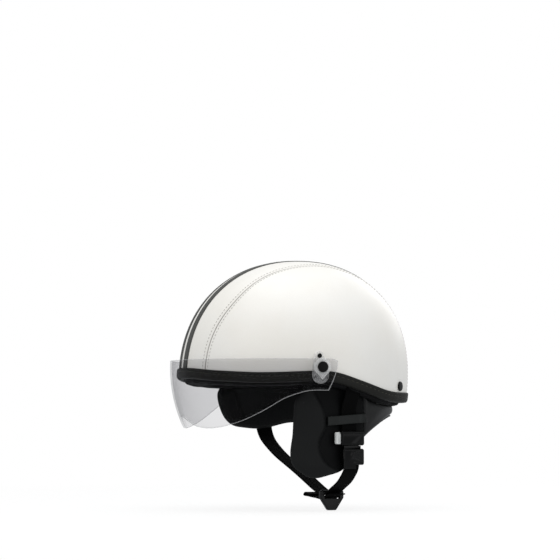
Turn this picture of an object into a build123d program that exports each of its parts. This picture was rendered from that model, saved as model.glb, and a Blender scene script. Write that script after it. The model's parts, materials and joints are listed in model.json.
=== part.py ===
from build123d import *
import math
import os

os.makedirs("parts", exist_ok=True)

# A half shell helmet with a leather cover, a flip-up visor, ear flaps and a buckled chin strap.
# The wearer faces -Y with the crown up and the left side towards +X.
# The origin lies on the middle plane, halfway along the shell, level with the top of the
# front edge trim.

# Dome, measured over the leather
shell_width = 226.0
shell_length = 270.0
dome_height = 136.0
widest_level = -12.0
dome_depth = 38.0
dome_power = 2.2
dome_lean = 4.4
dome_angles = (0, 14, 28, 42, 56, 68, 79, 88)

# Rim line, the top edge of the trim seen from the side: level in front, an S behind the pivots
rim_fall = 28.5
rim_shares = ((-1.2, 0.0), (-1.0, 0.03), (-0.9, 0.125), (-0.78, 0.19), (-0.6, 0.245), (-0.35, 0.24),
              (-0.12, 0.2), (0.08, 0.245), (0.275, 0.49), (0.42, 0.693), (0.58, 0.905), (0.7, 0.99),
              (0.82, 1.0), (1.2, 1.0))

# Layers from the outside in
cover_thickness = 1.2
shell_wall = 4.0
liner_thickness = 23.8
comfort_thickness = 4.0
layer_clearance = 0.3

# Cover seams and stripes: half widths of the centre band from front to back
band_half_width = 52.0
band_shares = ((-1.1, 0.89), (-0.9, 0.92), (-0.78, 0.97), (-0.65, 1.0), (-0.45, 0.95), (-0.2, 0.885),
               (0.0, 0.81), (0.12, 0.75), (0.26, 0.715), (0.5, 0.67), (1.1, 0.62))
seam_gap = 0.6
stripe_inner_edge = 4.2
stripe_width = 11.6
stripe_proud = 0.7
stripe_clearance = 0.1

# Edge trim, a leather channel over the rim of the shell
trim_height = 11.5
trim_proud = 2.0
trim_wall = 2.0
trim_lip_height = 7.5
trim_edge_radius = 1.8

# Comfort liner: an edge roll under the foam liner and a band up the inside, and a crown pad
liner_edge_lift = 3.5
roll_depth = 15.0
roll_edge_radius = 6.0
band_top_level = 46.0
crown_pad_radius = 44.0
crown_pad_thickness = 6.0

# Visor, an ellipsoid sheet centred on the origin
visor_thickness = 2.0
visor_side_stand = 7.65
visor_front_stand = 9.8
visor_half_height = 152.0
visor_top = 8.0
visor_depth = 69.5
visor_levels = (-0.52, -0.39, -0.26, -0.13, 0.0, 0.09)
visor_tab_length = 12.0
visor_tab_shares = ((0.3, 0.115), (0.95, 0.076), (0.775, -0.102), (0.06, -0.397))
visor_edge_shares = ((0.093, -0.395), (0.159, -0.406), (0.233, -0.446), (0.295, -0.491), (0.364, -0.564),
                     (0.45, -0.686), (0.528, -0.786), (0.594, -0.864), (0.689, -0.948), (0.79, -1.0))
visor_pad_radius = 14.0
visor_pad_thickness = 2.5
nose_half_width = 43.0
nose_shares = ((-1.0, 0.0), (-0.62, 0.2), (-0.33, 0.6), (0.0, 1.0), (0.33, 0.6), (0.62, 0.2), (1.0, 0.0))
nose_height = 12.8

# Visor pivots
pivot_back = -7.8
pivot_level = -1.5
pivot_base_radius = 9.6
pivot_disc_radius = 9.5
pivot_plate_rise = 3.2
pivot_disc_rise = 4.7
pivot_plate_drop = 18.5
pivot_gap = 0.3
stud_radius = 5.0
stud_bore_radius = 2.6
running_clearance = 0.05
ring_radius = 9.8
ring_hole_clearance = 0.2
ring_thickness = 2.0
ring_tip_reach = 14.0
button_head_radius = 6.1
button_head_height = 1.7
button_edge_radius = 0.8
lug_forward = 1.4
lug_rise = 12.6
lug_radius = 5.0
screw_head_radius = 2.6
screw_head_height = 1.2
screw_shank_radius = 1.4
screw_reach = 3.6
screw_clearance = 0.05

# Rear rivets
rivet_azimuth = 50.3
rivet_level = -21.5
rivet_head_radius = 5.5
rivet_head_height = 1.8
rivet_edge_radius = 1.2
rivet_shank_radius = 2.0
rivet_washer_radius = 6.0
rivet_washer_thickness = 1.0
rivet_washer_seat = 1.45
rivet_clearance = 0.05

# Padded skirt: two ear flaps and the nape curtain, on one upright elliptic wall
skirt_side_inset = 20.0
skirt_end_inset = 18.0
skirt_thickness = 9.0
skirt_gap = 0.5
skirt_edge_radius = 3.0
flap_rear_share = 0.493
left_flap_front = 33.7
left_flap_drop = 125.5
left_flap_shares = ((-0.504, -0.08), (-0.593, -0.223), (-0.828, -0.3), (-0.884, -0.387), (-0.911, -0.499),
                    (-0.941, -0.626), (-1.0, -0.736), (-1.0, -0.816), (-0.914, -0.887), (-0.68, -0.942),
                    (-0.439, -0.983), (-0.101, -1.0), (0.182, -0.978), (0.494, -0.93), (0.745, -0.805),
                    (1.0, -0.645))
right_flap_front = 72.0
right_flap_drop = 70.0
right_flap_shares = ((-0.875, -0.143), (-0.917, -0.271), (-0.985, -0.38), (-1.0, -0.47), (-0.95, -0.65),
                     (-0.865, -0.805), (-0.7, -0.94), (-0.5, -0.98), (-0.245, -1.0), (0.052, -0.966),
                     (0.36, -0.905), (1.0, -0.915))
nape_drop = 81.0
nape_edge_shares = ((0.562, -0.922), (0.712, -0.796), (0.85, -0.7), (0.95, -0.665), (1.15, -0.65))

# Webbing
webbing_width = 20.0
webbing_thickness = 1.7
webbing_clearance = 0.4
run_share = 0.45
hanger_right_out = 2.5

# Keeper band on the left flap
keeper_front_share = 0.146
keeper_rear_share = 0.996
keeper_level = -59.6
keeper_height = 10.2
keeper_thickness = 2.0
keeper_slope = 4.6
keeper_end_length = 4.0

# Hangers, anchored inside the shell
left_hanger_share = 0.257
right_hanger_share = -0.03
hanger_top = 5.0
hanger_bend_top = -32.0
hanger_bend_bottom = -42.0
channel_width = 24.0
channel_top = 9.5
anchor_plate_width = 22.0
anchor_plate_top = 7.0
anchor_plate_bottom = -8.5
anchor_plate_thickness = 2.0
anchor_rivet_level = -1.0
anchor_rivet_radius = 2.5
anchor_head_radius = 4.5
anchor_head_height = 1.4
anchor_reach = 2.4
anchor_clearance = 0.05

# Buckle: housing above, tongue below, release button at the front side
buckle_top = -72.2
housing_width = 31.0
housing_height = 16.6
housing_thickness = 10.0
housing_edge_radius = 2.4
housing_flange_height = 2.4
housing_flange_overhang = 0.8
housing_bar_slot_height = 3.2
tongue_plate_width = 14.0
tongue_plate_shift = 2.5
tongue_plate_thickness = 3.0
tongue_plate_reach = 12.5
tongue_clearance = 0.3
button_width = 9.0
button_height = 13.4
button_thickness = 5.6
button_proud = 5.0
button_travel = 3.5
button_clearance = 0.25
button_round = 1.6
tongue_gap = 3.6
tongue_neck_width = 22.0
tongue_width = 27.6
tongue_shift = 1.6
tongue_height = 18.2
tongue_thickness = 9.0
tongue_edge_radius = 2.2
tongue_lip_height = 4.0
tongue_lip_width = 16.0

# Chin strap route in its own upright plane: shares of the span inwards from the buckle, and of the
# drop from the start in the tongue to the lowest point
chin_drop = 43.0
chin_shares = ((0.0, 0.0), (0.0, 0.302), (0.026, 0.465), (0.072, 0.651), (0.164, 0.872), (0.216, 1.0),
               (0.298, 0.953), (0.41, 0.744), (0.564, 0.43), (0.688, 0.198), (0.78, 0.023), (0.903, -0.279),
               (0.965, -0.5), (1.0, -0.8), (1.0, -1.06))
tail_shares = ((0.144, 0.937), (0.21, 1.079), (0.298, 1.086), (0.369, 1.072), (0.441, 1.035))

# Slider at the lowest point of the chin strap
slider_share = 0.216
slider_rise = 5.0
slider_width = 31.0
slider_drop = 23.0
slider_thickness = 4.6
slider_tip_width = 11.0
slider_shoulder_drop = 9.0
slider_slot_height = 7.4
slider_bar_height = 2.6
slider_clearance = 0.5
slider_corner_radius = 3.0
slider_edge_radius = 1.2

overrun = 20.0
reach = shell_length
half_width = shell_width / 2
half_length = shell_length / 2
skirt_width = shell_width - 2 * skirt_side_inset
skirt_length = shell_length - 2 * skirt_end_inset
visor_half_width = half_width + visor_side_stand
visor_half_length = half_length + visor_front_stand
flap_rear = skirt_length / 2 * flap_rear_share
shell_inset = cover_thickness + shell_wall
trim_inner_inset = shell_inset + trim_wall
liner_inner_inset = shell_inset + liner_thickness
comfort_inner_inset = liner_inner_inset + comfort_thickness
crown_level = widest_level + dome_height
keeper_front = flap_rear * keeper_front_share
keeper_rear = flap_rear * keeper_rear_share
left_hanger_place = half_length * left_hanger_share
right_hanger_place = half_length * right_hanger_share


def dome(inset):
    # The solid under the dome surface that lies a given depth inside the leather; the crown leans rearwards
    height = dome_height - inset
    depth_angle = -math.degrees(math.asin((dome_depth / height) ** (dome_power / 2)))
    sections = []
    for angle in (depth_angle, *dome_angles):
        rise = math.sin(math.radians(angle))
        level = math.copysign(abs(rise) ** (2 / dome_power), rise)
        spread = math.cos(math.radians(angle)) ** (2 / dome_power)
        section = Ellipse((half_width - inset) * spread, (half_length - inset) * spread)
        sections.append(Pos(0, dome_lean * level, widest_level + height * level) * section)
    return loft(sections)


def layer(outer_inset, inner_inset):
    return dome(outer_inset) - dome(inner_inset)


def across(outline):
    # A side-view outline drawn in Y and Z, made a solid that spans the whole width
    return extrude(Plane.YZ * make_face(outline), amount=reach, both=True)


def rim_curve(drop):
    return [(half_length * place, -rim_fall * fall - drop) for place, fall in rim_shares]


def above_rim(drop):
    points = rim_curve(drop)
    top = crown_level + overrun
    frame = Polyline(points[-1], (points[-1][0], top), (points[0][0], top), points[0])
    return across(Spline(*points) + frame)


def below_rim(drop):
    points = rim_curve(drop)
    bottom = -crown_level - overrun
    frame = Polyline(points[-1], (points[-1][0], bottom), (points[0][0], bottom), points[0])
    return across(Spline(*points) + frame)


def foot_edges(solid, drop):
    # The edges along the foot of a layer that ends a given depth below the rim line
    foot = -rim_fall - drop + layer_clearance
    return [edge for edge in solid.edges() if edge.bounding_box().min.Z < foot]


def wall_point(width, length, place, side, out=0.0):
    # A point beside an elliptic wall: place along Y, side 1 left or -1 right, and the way it faces
    x = side * width / 2 * math.sqrt(1 - (2 * place / length) ** 2)
    facing = math.degrees(math.atan2(place / length**2, x / width**2))
    step = Vector(math.cos(math.radians(facing)), math.sin(math.radians(facing)), 0)
    return Vector(x, place, 0) + step * out, facing


def facing_plane(point, facing):
    # Local X runs sideways along the wall, local Y is up and local Z points out of the wall
    turn = math.radians(facing)
    return Plane(origin=point, x_dir=(-math.sin(turn), math.cos(turn), 0),
                 z_dir=(math.cos(turn), math.sin(turn), 0))


def route_plane(point, facing):
    # Local X runs inwards, local Y is up
    turn = math.radians(facing)
    return Plane(origin=point, x_dir=(-math.cos(turn), -math.sin(turn), 0),
                 z_dir=(-math.sin(turn), math.cos(turn), 0))


def webbing(plane, route, width=webbing_width):
    # Webbing along straight runs joined by arcs as large as the runs allow
    points = [Vector(*point) for point in route]
    radii = []
    for before, corner, after in zip(points, points[1:], points[2:]):
        run = min((corner - before).length, (after - corner).length)
        turn = math.radians((corner - before).get_angle(after - corner))
        radii.append(run_share * run / math.tan(turn / 2))
    path = plane * FilletPolyline(*points, radius=radii) if radii else plane * Line(*points)
    start = path @ 0
    section = Plane(origin=start, x_dir=plane.z_dir, z_dir=path % 0) * Rectangle(width, webbing_thickness)
    solid = sweep(section, path=path)
    shortest = min(radii) if radii else 0
    print("webbing", round(path.length), "long, tightest bend", round(shortest, 1),
          "volume share", round(solid.volume / (width * webbing_thickness * path.length), 3))
    return solid


def both_sides(solid):
    return solid + mirror(solid, about=Plane.YZ)


# Seam lines of the centre band in plan
def band_region(half_gap):
    right = [(band_half_width * width + half_gap, half_length * place) for place, width in band_shares]
    left = [(-x, y) for x, y in reversed(right)]
    outline = Spline(*right) + Line(right[-1], left[0]) + Spline(*left) + Line(left[-1], right[0])
    return Pos(0, 0, -crown_level) * extrude(make_face(outline), amount=3 * crown_level)


# Places on the shell
rivet_turn = math.radians(rivet_azimuth)
rivet_point = Vector(half_width * math.cos(rivet_turn), half_length * math.sin(rivet_turn), rivet_level)
rivet_facing = math.degrees(math.atan2(math.sin(rivet_turn) / half_length, math.cos(rivet_turn) / half_width))
rivet_plane = facing_plane(rivet_point, rivet_facing)

pivot_plane = Plane(origin=(half_width, pivot_back, pivot_level), x_dir=(0, 1, 0), z_dir=(1, 0, 0))
lug_place = (-lug_forward, lug_rise)

left_point, left_facing = wall_point(skirt_width, skirt_length, left_hanger_place, 1)
buckle_out = webbing_clearance + housing_thickness / 2
buckle_point = wall_point(skirt_width, skirt_length, left_hanger_place, 1, buckle_out)[0]
far_out = webbing_clearance + hanger_right_out + webbing_thickness / 2
far_point, right_facing = wall_point(skirt_width, skirt_length, right_hanger_place, -1, far_out)
span = buckle_point - far_point
strap_facing = math.degrees(math.atan2(span.Y, span.X))
strap_span = math.hypot(span.X, span.Y)
buckle_plane = facing_plane(buckle_point, strap_facing)
strap_plane = route_plane(buckle_point, strap_facing)


def through(plane, radius, low, high):
    # A round bar along a plane's normal
    return plane * Pos(0, 0, low) * extrude(Circle(radius), amount=high - low)


def block(plane, width, height, low, high, place=(0, 0)):
    # A rectangular bar along a plane's normal
    return plane * Pos(place[0], place[1], low) * extrude(Rectangle(width, height), amount=high - low)


rivet_hole = both_sides(through(rivet_plane, rivet_shank_radius + rivet_clearance, -overrun, overrun))
screw_plane = Plane(pivot_plane * Pos(*lug_place))
screw_hole = both_sides(through(screw_plane, screw_shank_radius + screw_clearance, -screw_reach, overrun))

# Leather cover: two sides and a centre band with two raised stripes
cover = layer(0, cover_thickness) & above_rim(trim_height - trim_wall)
cover -= rivet_hole + screw_hole
centre_band = cover & band_region(-seam_gap / 2)
sides = cover - band_region(seam_gap / 2)
half_space = Pos(reach / 2, 0, 0) * Box(reach, 2 * reach, 2 * reach)
left_panel = sides & half_space
right_panel = mirror(left_panel, about=Plane.YZ)
stripe_layer = layer(-stripe_proud, -stripe_clearance) & above_rim(0)
stripe_centre = stripe_inner_edge + stripe_width / 2
stripe_left = stripe_layer & (Pos(stripe_centre, 0, 0) * Box(stripe_width, 2 * reach, 2 * reach))
stripe_right = mirror(stripe_left, about=Plane.YZ)

# Hanger frames and the channels they run in, shared by the shell, foam and liner
hanger_room = layer_clearance + webbing_thickness / 2 + 3 * webbing_clearance
hanger_frames = []
for side, place in ((1, left_hanger_place), (-1, right_hanger_place)):
    point, facing = wall_point(skirt_width, skirt_length, place, side)
    inner_width = shell_width - 2 * trim_inner_inset
    inner_length = shell_length - 2 * trim_inner_inset
    inner_wall = wall_point(inner_width, inner_length, place, side)[0]
    outward = facing_plane(point, facing)
    offset = (inner_wall - point).dot(outward.z_dir) - hanger_room
    hanger_frames.append((point, facing, outward, offset))


def channel(frame):
    point, facing, outward, offset = frame
    low = offset - webbing_thickness / 2 - anchor_head_height - 3 * webbing_clearance
    bottom = -rim_fall - roll_depth - overrun
    middle = (channel_top + bottom) / 2
    return block(outward, channel_width, channel_top - bottom, low, offset + overrun / 2, (0, middle))


def shell_face(frame):
    # How far out the inside of the shell lies
    return frame[3] + hanger_room + trim_wall


def anchor_hole(frame, high):
    outward, offset = frame[2], frame[3]
    plane = Plane(outward * Pos(0, anchor_rivet_level, 0))
    return through(plane, anchor_rivet_radius + anchor_clearance, offset - overrun / 2, high)


# Moulded shell under the leather
shell = layer(cover_thickness, shell_inset) & above_rim(trim_height - trim_wall)
shell -= rivet_hole + screw_hole
for frame in hanger_frames:
    shell -= anchor_hole(frame, shell_face(frame) + anchor_reach)

# Edge trim, a channel that wraps the rim
trim = layer(-trim_proud, trim_inner_inset) & above_rim(trim_height) & below_rim(0)
trim -= layer(0, shell_inset) & above_rim(trim_height - trim_wall)
trim -= layer(shell_inset, trim_inner_inset + trim_wall) & above_rim(trim_height - trim_lip_height)
edge_trim = fillet(foot_edges(trim, trim_height), trim_edge_radius)

# Foam liner
liner = layer(shell_inset, liner_inner_inset) & above_rim(liner_edge_lift)
washer_pocket_low = -shell_inset - liner_thickness / 4
liner -= both_sides(through(rivet_plane, rivet_washer_radius + layer_clearance, washer_pocket_low, 0))
for frame in hanger_frames:
    liner -= channel(frame)

# Comfort liner: edge roll and inner band in one piece, and the crown pad
roll_outer_inset = trim_inner_inset + layer_clearance
roll = layer(roll_outer_inset, comfort_inner_inset) & above_rim(roll_depth)
roll = roll & below_rim(liner_edge_lift + layer_clearance)
band = layer(liner_inner_inset + layer_clearance, comfort_inner_inset) & above_rim(roll_depth)
band = band & (Pos(0, 0, band_top_level - reach) * Box(2 * reach, 2 * reach, 2 * reach))
comfort = roll + band
comfort = fillet(foot_edges(comfort, roll_depth), roll_edge_radius)
for frame in hanger_frames:
    comfort -= channel(frame)
crown_pad = layer(liner_inner_inset + layer_clearance, liner_inner_inset + crown_pad_thickness)
crown_pad = crown_pad & (Pos(0, 0, band_top_level) * extrude(Circle(crown_pad_radius), amount=crown_level))

# Visor: ellipsoid sheet, side tabs, nose arch, and flat pads at the pivots
def visor_form(inset):
    sections = []
    for share in visor_levels:
        level = visor_half_height * share
        spread = math.sqrt(1 - (level / (visor_half_height - inset)) ** 2)
        section = Ellipse((visor_half_width - inset) * spread, (visor_half_length - inset) * spread)
        sections.append(Pos(0, 0, level) * section)
    return loft(sections)


visor_front = -visor_half_length - overrun
tab_edge = [(visor_tab_length * place, visor_depth * level) for place, level in visor_tab_shares]
lower_edge = [(-visor_half_length * place, visor_depth * level) for place, level in visor_edge_shares]
outline = Polyline((visor_front, visor_top), *tab_edge, lower_edge[0])
outline += Spline(*lower_edge)
outline += Polyline(lower_edge[-1], (visor_front, -visor_depth), (visor_front, visor_top))
visor = (visor_form(0) - visor_form(visor_thickness)) & across(outline)
nose_points = [(nose_half_width * x, -visor_depth + nose_height * z) for x, z in nose_shares]
nose_low = -visor_depth - overrun
nose = Spline(*nose_points) + Polyline(nose_points[-1], (nose_half_width, nose_low),
                                       (-nose_half_width, nose_low), nose_points[0])
visor -= extrude(Plane.XZ * make_face(nose), amount=reach)
pad_low = pivot_disc_rise + pivot_gap
pad_high = pad_low + visor_pad_thickness
visor += both_sides(through(pivot_plane, visor_pad_radius, pad_low, pad_high)) & across(outline)
visor -= both_sides(through(pivot_plane, stud_radius + running_clearance, -overrun, overrun))


# Pivot bases: a plate that clears the trim, a raised disc, a stud and a lug for the screw
def pivot_base():
    lug = Pos(*lug_place) * Circle(lug_radius)
    foot = Pos(0, pivot_base_radius - pivot_plate_drop) * Circle(pivot_base_radius)
    outline = make_hull([*lug.edges(), *foot.edges()])
    plate = pivot_plane * extrude(outline, amount=pivot_plate_rise)
    plate += pivot_plane * Pos(0, 0, -overrun / 2) * extrude(outline, amount=overrun / 2)
    plate -= dome(0)
    plate -= dome(-trim_proud - layer_clearance / 2) & below_rim(-layer_clearance)
    base = plate + through(pivot_plane, pivot_disc_radius, trim_proud + layer_clearance, pivot_disc_rise)
    base += through(pivot_plane, stud_radius, pivot_disc_rise / 2, stud_top)
    base -= through(pivot_plane, stud_bore_radius, pivot_plate_rise / 2, overrun)
    base -= through(screw_plane, screw_shank_radius + screw_clearance, -overrun, overrun)
    return base


pad_top = pad_high + pivot_gap
stud_top = pad_top + ring_thickness
pivot_base_left = pivot_base()
pivot_base_right = mirror(pivot_base_left, about=Plane.YZ)

# Pivot rings with a pointed tip, and the snap buttons that hold them
tip_spread = ring_radius / 2
tip_outline = Polyline((-tip_spread, -ring_radius / 2), (-tip_spread, -ring_radius * math.sqrt(3) / 2),
                       (0, -ring_tip_reach), (tip_spread, -ring_radius * math.sqrt(3) / 2),
                       (tip_spread, -ring_radius / 2), close=True)
ring_outline = Circle(ring_radius) + make_face(tip_outline) - Circle(stud_radius + ring_hole_clearance)
pivot_ring_left = pivot_plane * Pos(0, 0, pad_top) * extrude(ring_outline, amount=ring_thickness)
pivot_ring_right = mirror(pivot_ring_left, about=Plane.YZ)
button_low = stud_top + running_clearance
button_head = extrude(Circle(button_head_radius), amount=button_head_height)
button_head = fillet(button_head.edges().group_by(Axis.Z)[-1], button_edge_radius)
button_shank = Pos(0, 0, -ring_thickness - visor_pad_thickness)
button_shank *= extrude(Circle(stud_bore_radius - running_clearance),
                        amount=ring_thickness + visor_pad_thickness)
snap_button_left = pivot_plane * Pos(0, 0, button_low) * (button_head + button_shank)
snap_button_right = mirror(snap_button_left, about=Plane.YZ)

# Countersunk screws of the bases
screw_low = pivot_plate_rise + running_clearance
base_screw = through(screw_plane, screw_head_radius, screw_low, screw_low + screw_head_height / 2)
base_screw += through(screw_plane, screw_shank_radius, -screw_reach + layer_clearance, screw_low)
base_screws = both_sides(base_screw)

# Rear rivets with the flat washers that spread their load inside the curved shell
rivet_head = extrude(Circle(rivet_head_radius), amount=rivet_head_height)
rivet_head = fillet(rivet_head.edges().group_by(Axis.Z)[-1], rivet_edge_radius)
rivet_tail_reach = shell_inset + rivet_washer_seat + rivet_washer_thickness + rivet_clearance
rivet_shank = Pos(0, 0, -rivet_tail_reach) * extrude(Circle(rivet_shank_radius), amount=rivet_tail_reach)
rivet_tail = Pos(0, 0, -rivet_tail_reach - rivet_washer_thickness)
rivet_tail *= extrude(Circle(rivet_shank_radius + rivet_washer_thickness), amount=rivet_washer_thickness)
rear_rivets = both_sides(rivet_plane * Pos(0, 0, running_clearance) * (rivet_head + rivet_shank + rivet_tail))
washer_low = -shell_inset - rivet_washer_seat - rivet_washer_thickness
rivet_washers = through(rivet_plane, rivet_washer_radius, washer_low, washer_low + rivet_washer_thickness)
rivet_washers -= through(rivet_plane, rivet_shank_radius + 2 * rivet_clearance, -overrun, overrun)
rivet_washers = both_sides(rivet_washers)

# Padded skirt under the edge roll
skirt_wall = extrude(Ellipse(skirt_width / 2, skirt_length / 2), amount=-2 * left_flap_drop)
skirt_wall -= extrude(Ellipse(skirt_width / 2 - skirt_thickness, skirt_length / 2 - skirt_thickness),
                      amount=-2 * left_flap_drop)
skirt_wall = skirt_wall & below_rim(roll_depth + layer_clearance)


def flap(front, drop, shares, side):
    # Places in front of the middle are shares of the front, those behind it of the rear
    edge = [((front if place < 0 else flap_rear) * place, drop * level) for place, level in shares]
    outline = Spline(*edge) + Polyline(edge[-1], (edge[-1][0], edge[0][1]), edge[0])
    padded = skirt_wall & (Plane.YZ * extrude(make_face(outline), amount=side * reach))
    return fillet(padded.edges().sort_by(SortBy.LENGTH)[-2:], skirt_edge_radius)


ear_flap_left = flap(left_flap_front, left_flap_drop, left_flap_shares, 1)
ear_flap_right = flap(right_flap_front, right_flap_drop, right_flap_shares, -1)
nape_edge = [(flap_rear + skirt_gap, -nape_drop)]
nape_edge += [(skirt_length / 2 * place, nape_drop * level) for place, level in nape_edge_shares]
nape_frame = Polyline(nape_edge[-1], (nape_edge[-1][0], 0), (nape_edge[0][0], 0), nape_edge[0])
nape_outline = Spline(*nape_edge) + nape_frame
nape_curtain = skirt_wall & across(nape_outline)
nape_curtain = fillet(nape_curtain.edges().sort_by(SortBy.LENGTH)[-2:], skirt_edge_radius)


def skirt_skin(low, high):
    # An upright elliptic wall outside the skirt, between two distances from it
    outer = Ellipse(skirt_width / 2 + high, skirt_length / 2 + high)
    inner = Ellipse(skirt_width / 2 + low, skirt_length / 2 + low)
    return extrude(outer - inner, amount=-2 * left_flap_drop)


# Keeper band: sewn to the flap at both ends, with the hanger webbing under it
keeper_length = keeper_rear - keeper_front
keeper_low = webbing_thickness + 3 * webbing_clearance
keeper_place = Pos((keeper_front + keeper_rear) / 2, keeper_level) * Rot(0, 0, keeper_slope)
keeper_outline = keeper_place * Rectangle(keeper_length, keeper_height)
end_shift = (keeper_length - keeper_end_length) / 2
end_outlines = keeper_place * Pos(-end_shift, 0) * Rectangle(keeper_end_length, keeper_height)
end_outlines += keeper_place * Pos(end_shift, 0) * Rectangle(keeper_end_length, keeper_height)
keeper_high = keeper_low + keeper_thickness
keeper_band = skirt_skin(keeper_low, keeper_high) & (Plane.YZ * extrude(keeper_outline, amount=reach))
keeper_band += skirt_skin(layer_clearance, keeper_high) & (Plane.YZ * extrude(end_outlines, amount=reach))

# Levels of the buckle and of the chin strap
housing_middle = buckle_top - housing_height / 2
housing_bottom = buckle_top - housing_height
body_top = housing_bottom - tongue_gap
body_bottom = body_top - tongue_height
chin_start = body_bottom + tongue_height / 2


def strap_points(shares):
    return [(strap_span * place, chin_start - chin_drop * fall) for place, fall in shares]


# Hanger webbing, riveted inside the shell and led down over the flaps
left_low = webbing_clearance + webbing_thickness / 2
hanger_ends = ((left_low, buckle_top - housing_flange_height - housing_bar_slot_height),
               (far_out, strap_points(chin_shares)[-1][1] + layer_clearance))
hangers = []
anchor_plates = []
anchor_rivets = []
for frame, (low_out, end_level) in zip(hanger_frames, hanger_ends):
    point, facing, outward, offset = frame
    route = ((-offset, hanger_top), (-offset, hanger_bend_top), (-low_out, hanger_bend_bottom),
             (-low_out, end_level))
    hangers.append(webbing(route_plane(point, facing), route) - anchor_hole(frame, offset + overrun / 2))
    middle = (anchor_plate_top + anchor_plate_bottom) / 2
    plate_block = block(outward, anchor_plate_width, anchor_plate_top - anchor_plate_bottom,
                        offset, offset + overrun, (0, middle))
    plate_inset = shell_inset + layer_clearance / 2
    plate_wall = layer(plate_inset, plate_inset + anchor_plate_thickness)
    anchor_plates.append((plate_wall & plate_block) - anchor_hole(frame, offset + overrun))
    rivet_frame = Plane(outward * Pos(0, anchor_rivet_level, 0))
    head_low = offset - webbing_thickness / 2 - webbing_clearance / 4 - anchor_head_height
    shank_top = shell_face(frame) + anchor_reach - layer_clearance
    rivet = through(rivet_frame, anchor_head_radius, head_low, head_low + anchor_head_height)
    rivet += through(rivet_frame, anchor_rivet_radius, head_low, shank_top)
    anchor_rivets.append(rivet)
hanger_left, hanger_right = hangers
strap_anchors = anchor_plates[0] + anchor_plates[1]
hanger_rivets = anchor_rivets[0] + anchor_rivets[1]

# Buckle housing: flanged top, slot for the hanger, cavity for the tongue, pocket for the button
housing = block(buckle_plane, housing_width, housing_height, -housing_thickness / 2, housing_thickness / 2,
                (0, housing_middle))
housing = fillet(housing.edges(), housing_edge_radius)
flange_middle = buckle_top - housing_flange_height / 2 - housing_edge_radius / 2
flange = block(buckle_plane, housing_width + 2 * housing_flange_overhang, housing_flange_height,
               -housing_thickness / 2 + housing_edge_radius, housing_thickness / 2 + housing_flange_overhang,
               (0, flange_middle))
flange = fillet(flange.edges(), housing_flange_overhang)
housing += flange
slot_height = 2 * (housing_flange_height + housing_bar_slot_height + webbing_clearance)
slot_high = -housing_thickness / 2 + webbing_thickness + webbing_clearance
housing -= block(buckle_plane, webbing_width + 2 * webbing_clearance, slot_height,
                 -housing_thickness / 2 - overrun, slot_high, (0, buckle_top))
cavity_height = 2 * (tongue_plate_reach + tongue_clearance)
cavity_half = tongue_plate_thickness / 2 + tongue_clearance
housing -= block(buckle_plane, tongue_plate_width + 2 * tongue_clearance, cavity_height,
                 -cavity_half, cavity_half, (tongue_plate_shift, housing_bottom))
button_front = -housing_width / 2 - button_proud
button_rear = button_front + button_width
pocket_length = button_rear + button_travel + button_clearance - button_front
pocket_middle = button_front + pocket_length / 2
housing -= block(buckle_plane, pocket_length, button_height + 2 * button_clearance,
                 -button_thickness / 2 - button_clearance, button_thickness / 2 + button_clearance,
                 (pocket_middle, housing_middle))
buckle_housing = housing

# Release button, pressed rearwards into the housing
button = block(buckle_plane, button_width, button_height, -button_thickness / 2, button_thickness / 2,
               (button_front + button_width / 2, housing_middle))
release_button = fillet(button.edges(), button_round)

# Tongue: plate in the housing, neck, body with the strap slot, and a lip below
neck_top = housing_bottom - tongue_clearance
tongue = block(buckle_plane, tongue_width, tongue_height, -tongue_thickness / 2, tongue_thickness / 2,
               (tongue_shift, (body_top + body_bottom) / 2))
tongue = fillet(tongue.edges(), tongue_edge_radius)
neck_bottom = body_top - tongue_edge_radius
tongue += block(buckle_plane, tongue_neck_width, neck_top - neck_bottom, -tongue_thickness / 3,
                tongue_thickness / 3, (0, (neck_top + neck_bottom) / 2))
plate_top = housing_bottom + tongue_plate_reach
tongue += block(buckle_plane, tongue_plate_width, plate_top - body_top, -tongue_plate_thickness / 2,
                tongue_plate_thickness / 2, (tongue_plate_shift, (plate_top + body_top) / 2))
lip_height = tongue_lip_height + 2 * tongue_edge_radius
lip_middle = body_bottom - tongue_lip_height + lip_height / 2
tongue += block(buckle_plane, tongue_lip_width, lip_height, tongue_thickness / 4,
                tongue_thickness / 2 - layer_clearance, (-tongue_lip_width / 4, lip_middle))
strap_slot_top = chin_start + webbing_clearance
slot_length = strap_slot_top - body_bottom + overrun
tongue -= block(buckle_plane, webbing_width + 2 * webbing_clearance, slot_length,
                -webbing_thickness / 2 - webbing_clearance, webbing_thickness / 2 + webbing_clearance,
                (0, strap_slot_top - slot_length / 2))
buckle_tongue = tongue


# Chin strap from the tongue to the right hanger, and its loose tail
chin_strap = webbing(strap_plane, strap_points(chin_shares))
strap_tail = webbing(strap_plane, strap_points(tail_shares))

# Slider with one slot for both layers of the strap and a rounded lower end
slider_place = strap_span * slider_share
slider_top = chin_start - chin_drop + slider_rise
slider_plane = facing_plane(buckle_point - buckle_plane.z_dir * slider_place, strap_facing)
slider_outline = Polyline((-slider_width / 2, slider_top), (slider_width / 2, slider_top),
                          (slider_width / 2, slider_top - slider_shoulder_drop),
                          (slider_tip_width / 2, slider_top - slider_drop),
                          (-slider_tip_width / 2, slider_top - slider_drop),
                          (-slider_width / 2, slider_top - slider_shoulder_drop), close=True)
slider_face = make_face(slider_outline)
slider_face = fillet(slider_face.vertices(), slider_corner_radius)
slider_block = extrude(slider_face, amount=slider_thickness)
slider_levels = slider_block.edges().group_by(Axis.Z)
slider_block = fillet(slider_levels[0] + slider_levels[-1], slider_edge_radius)
chin_slider = slider_plane * Pos(0, 0, -slider_thickness / 2) * slider_block
slot_middle = slider_top - slider_bar_height - slider_slot_height / 2
chin_slider -= block(slider_plane, webbing_width + 2 * slider_clearance, slider_slot_height,
                     -overrun, overrun, (0, slot_middle))

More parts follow.
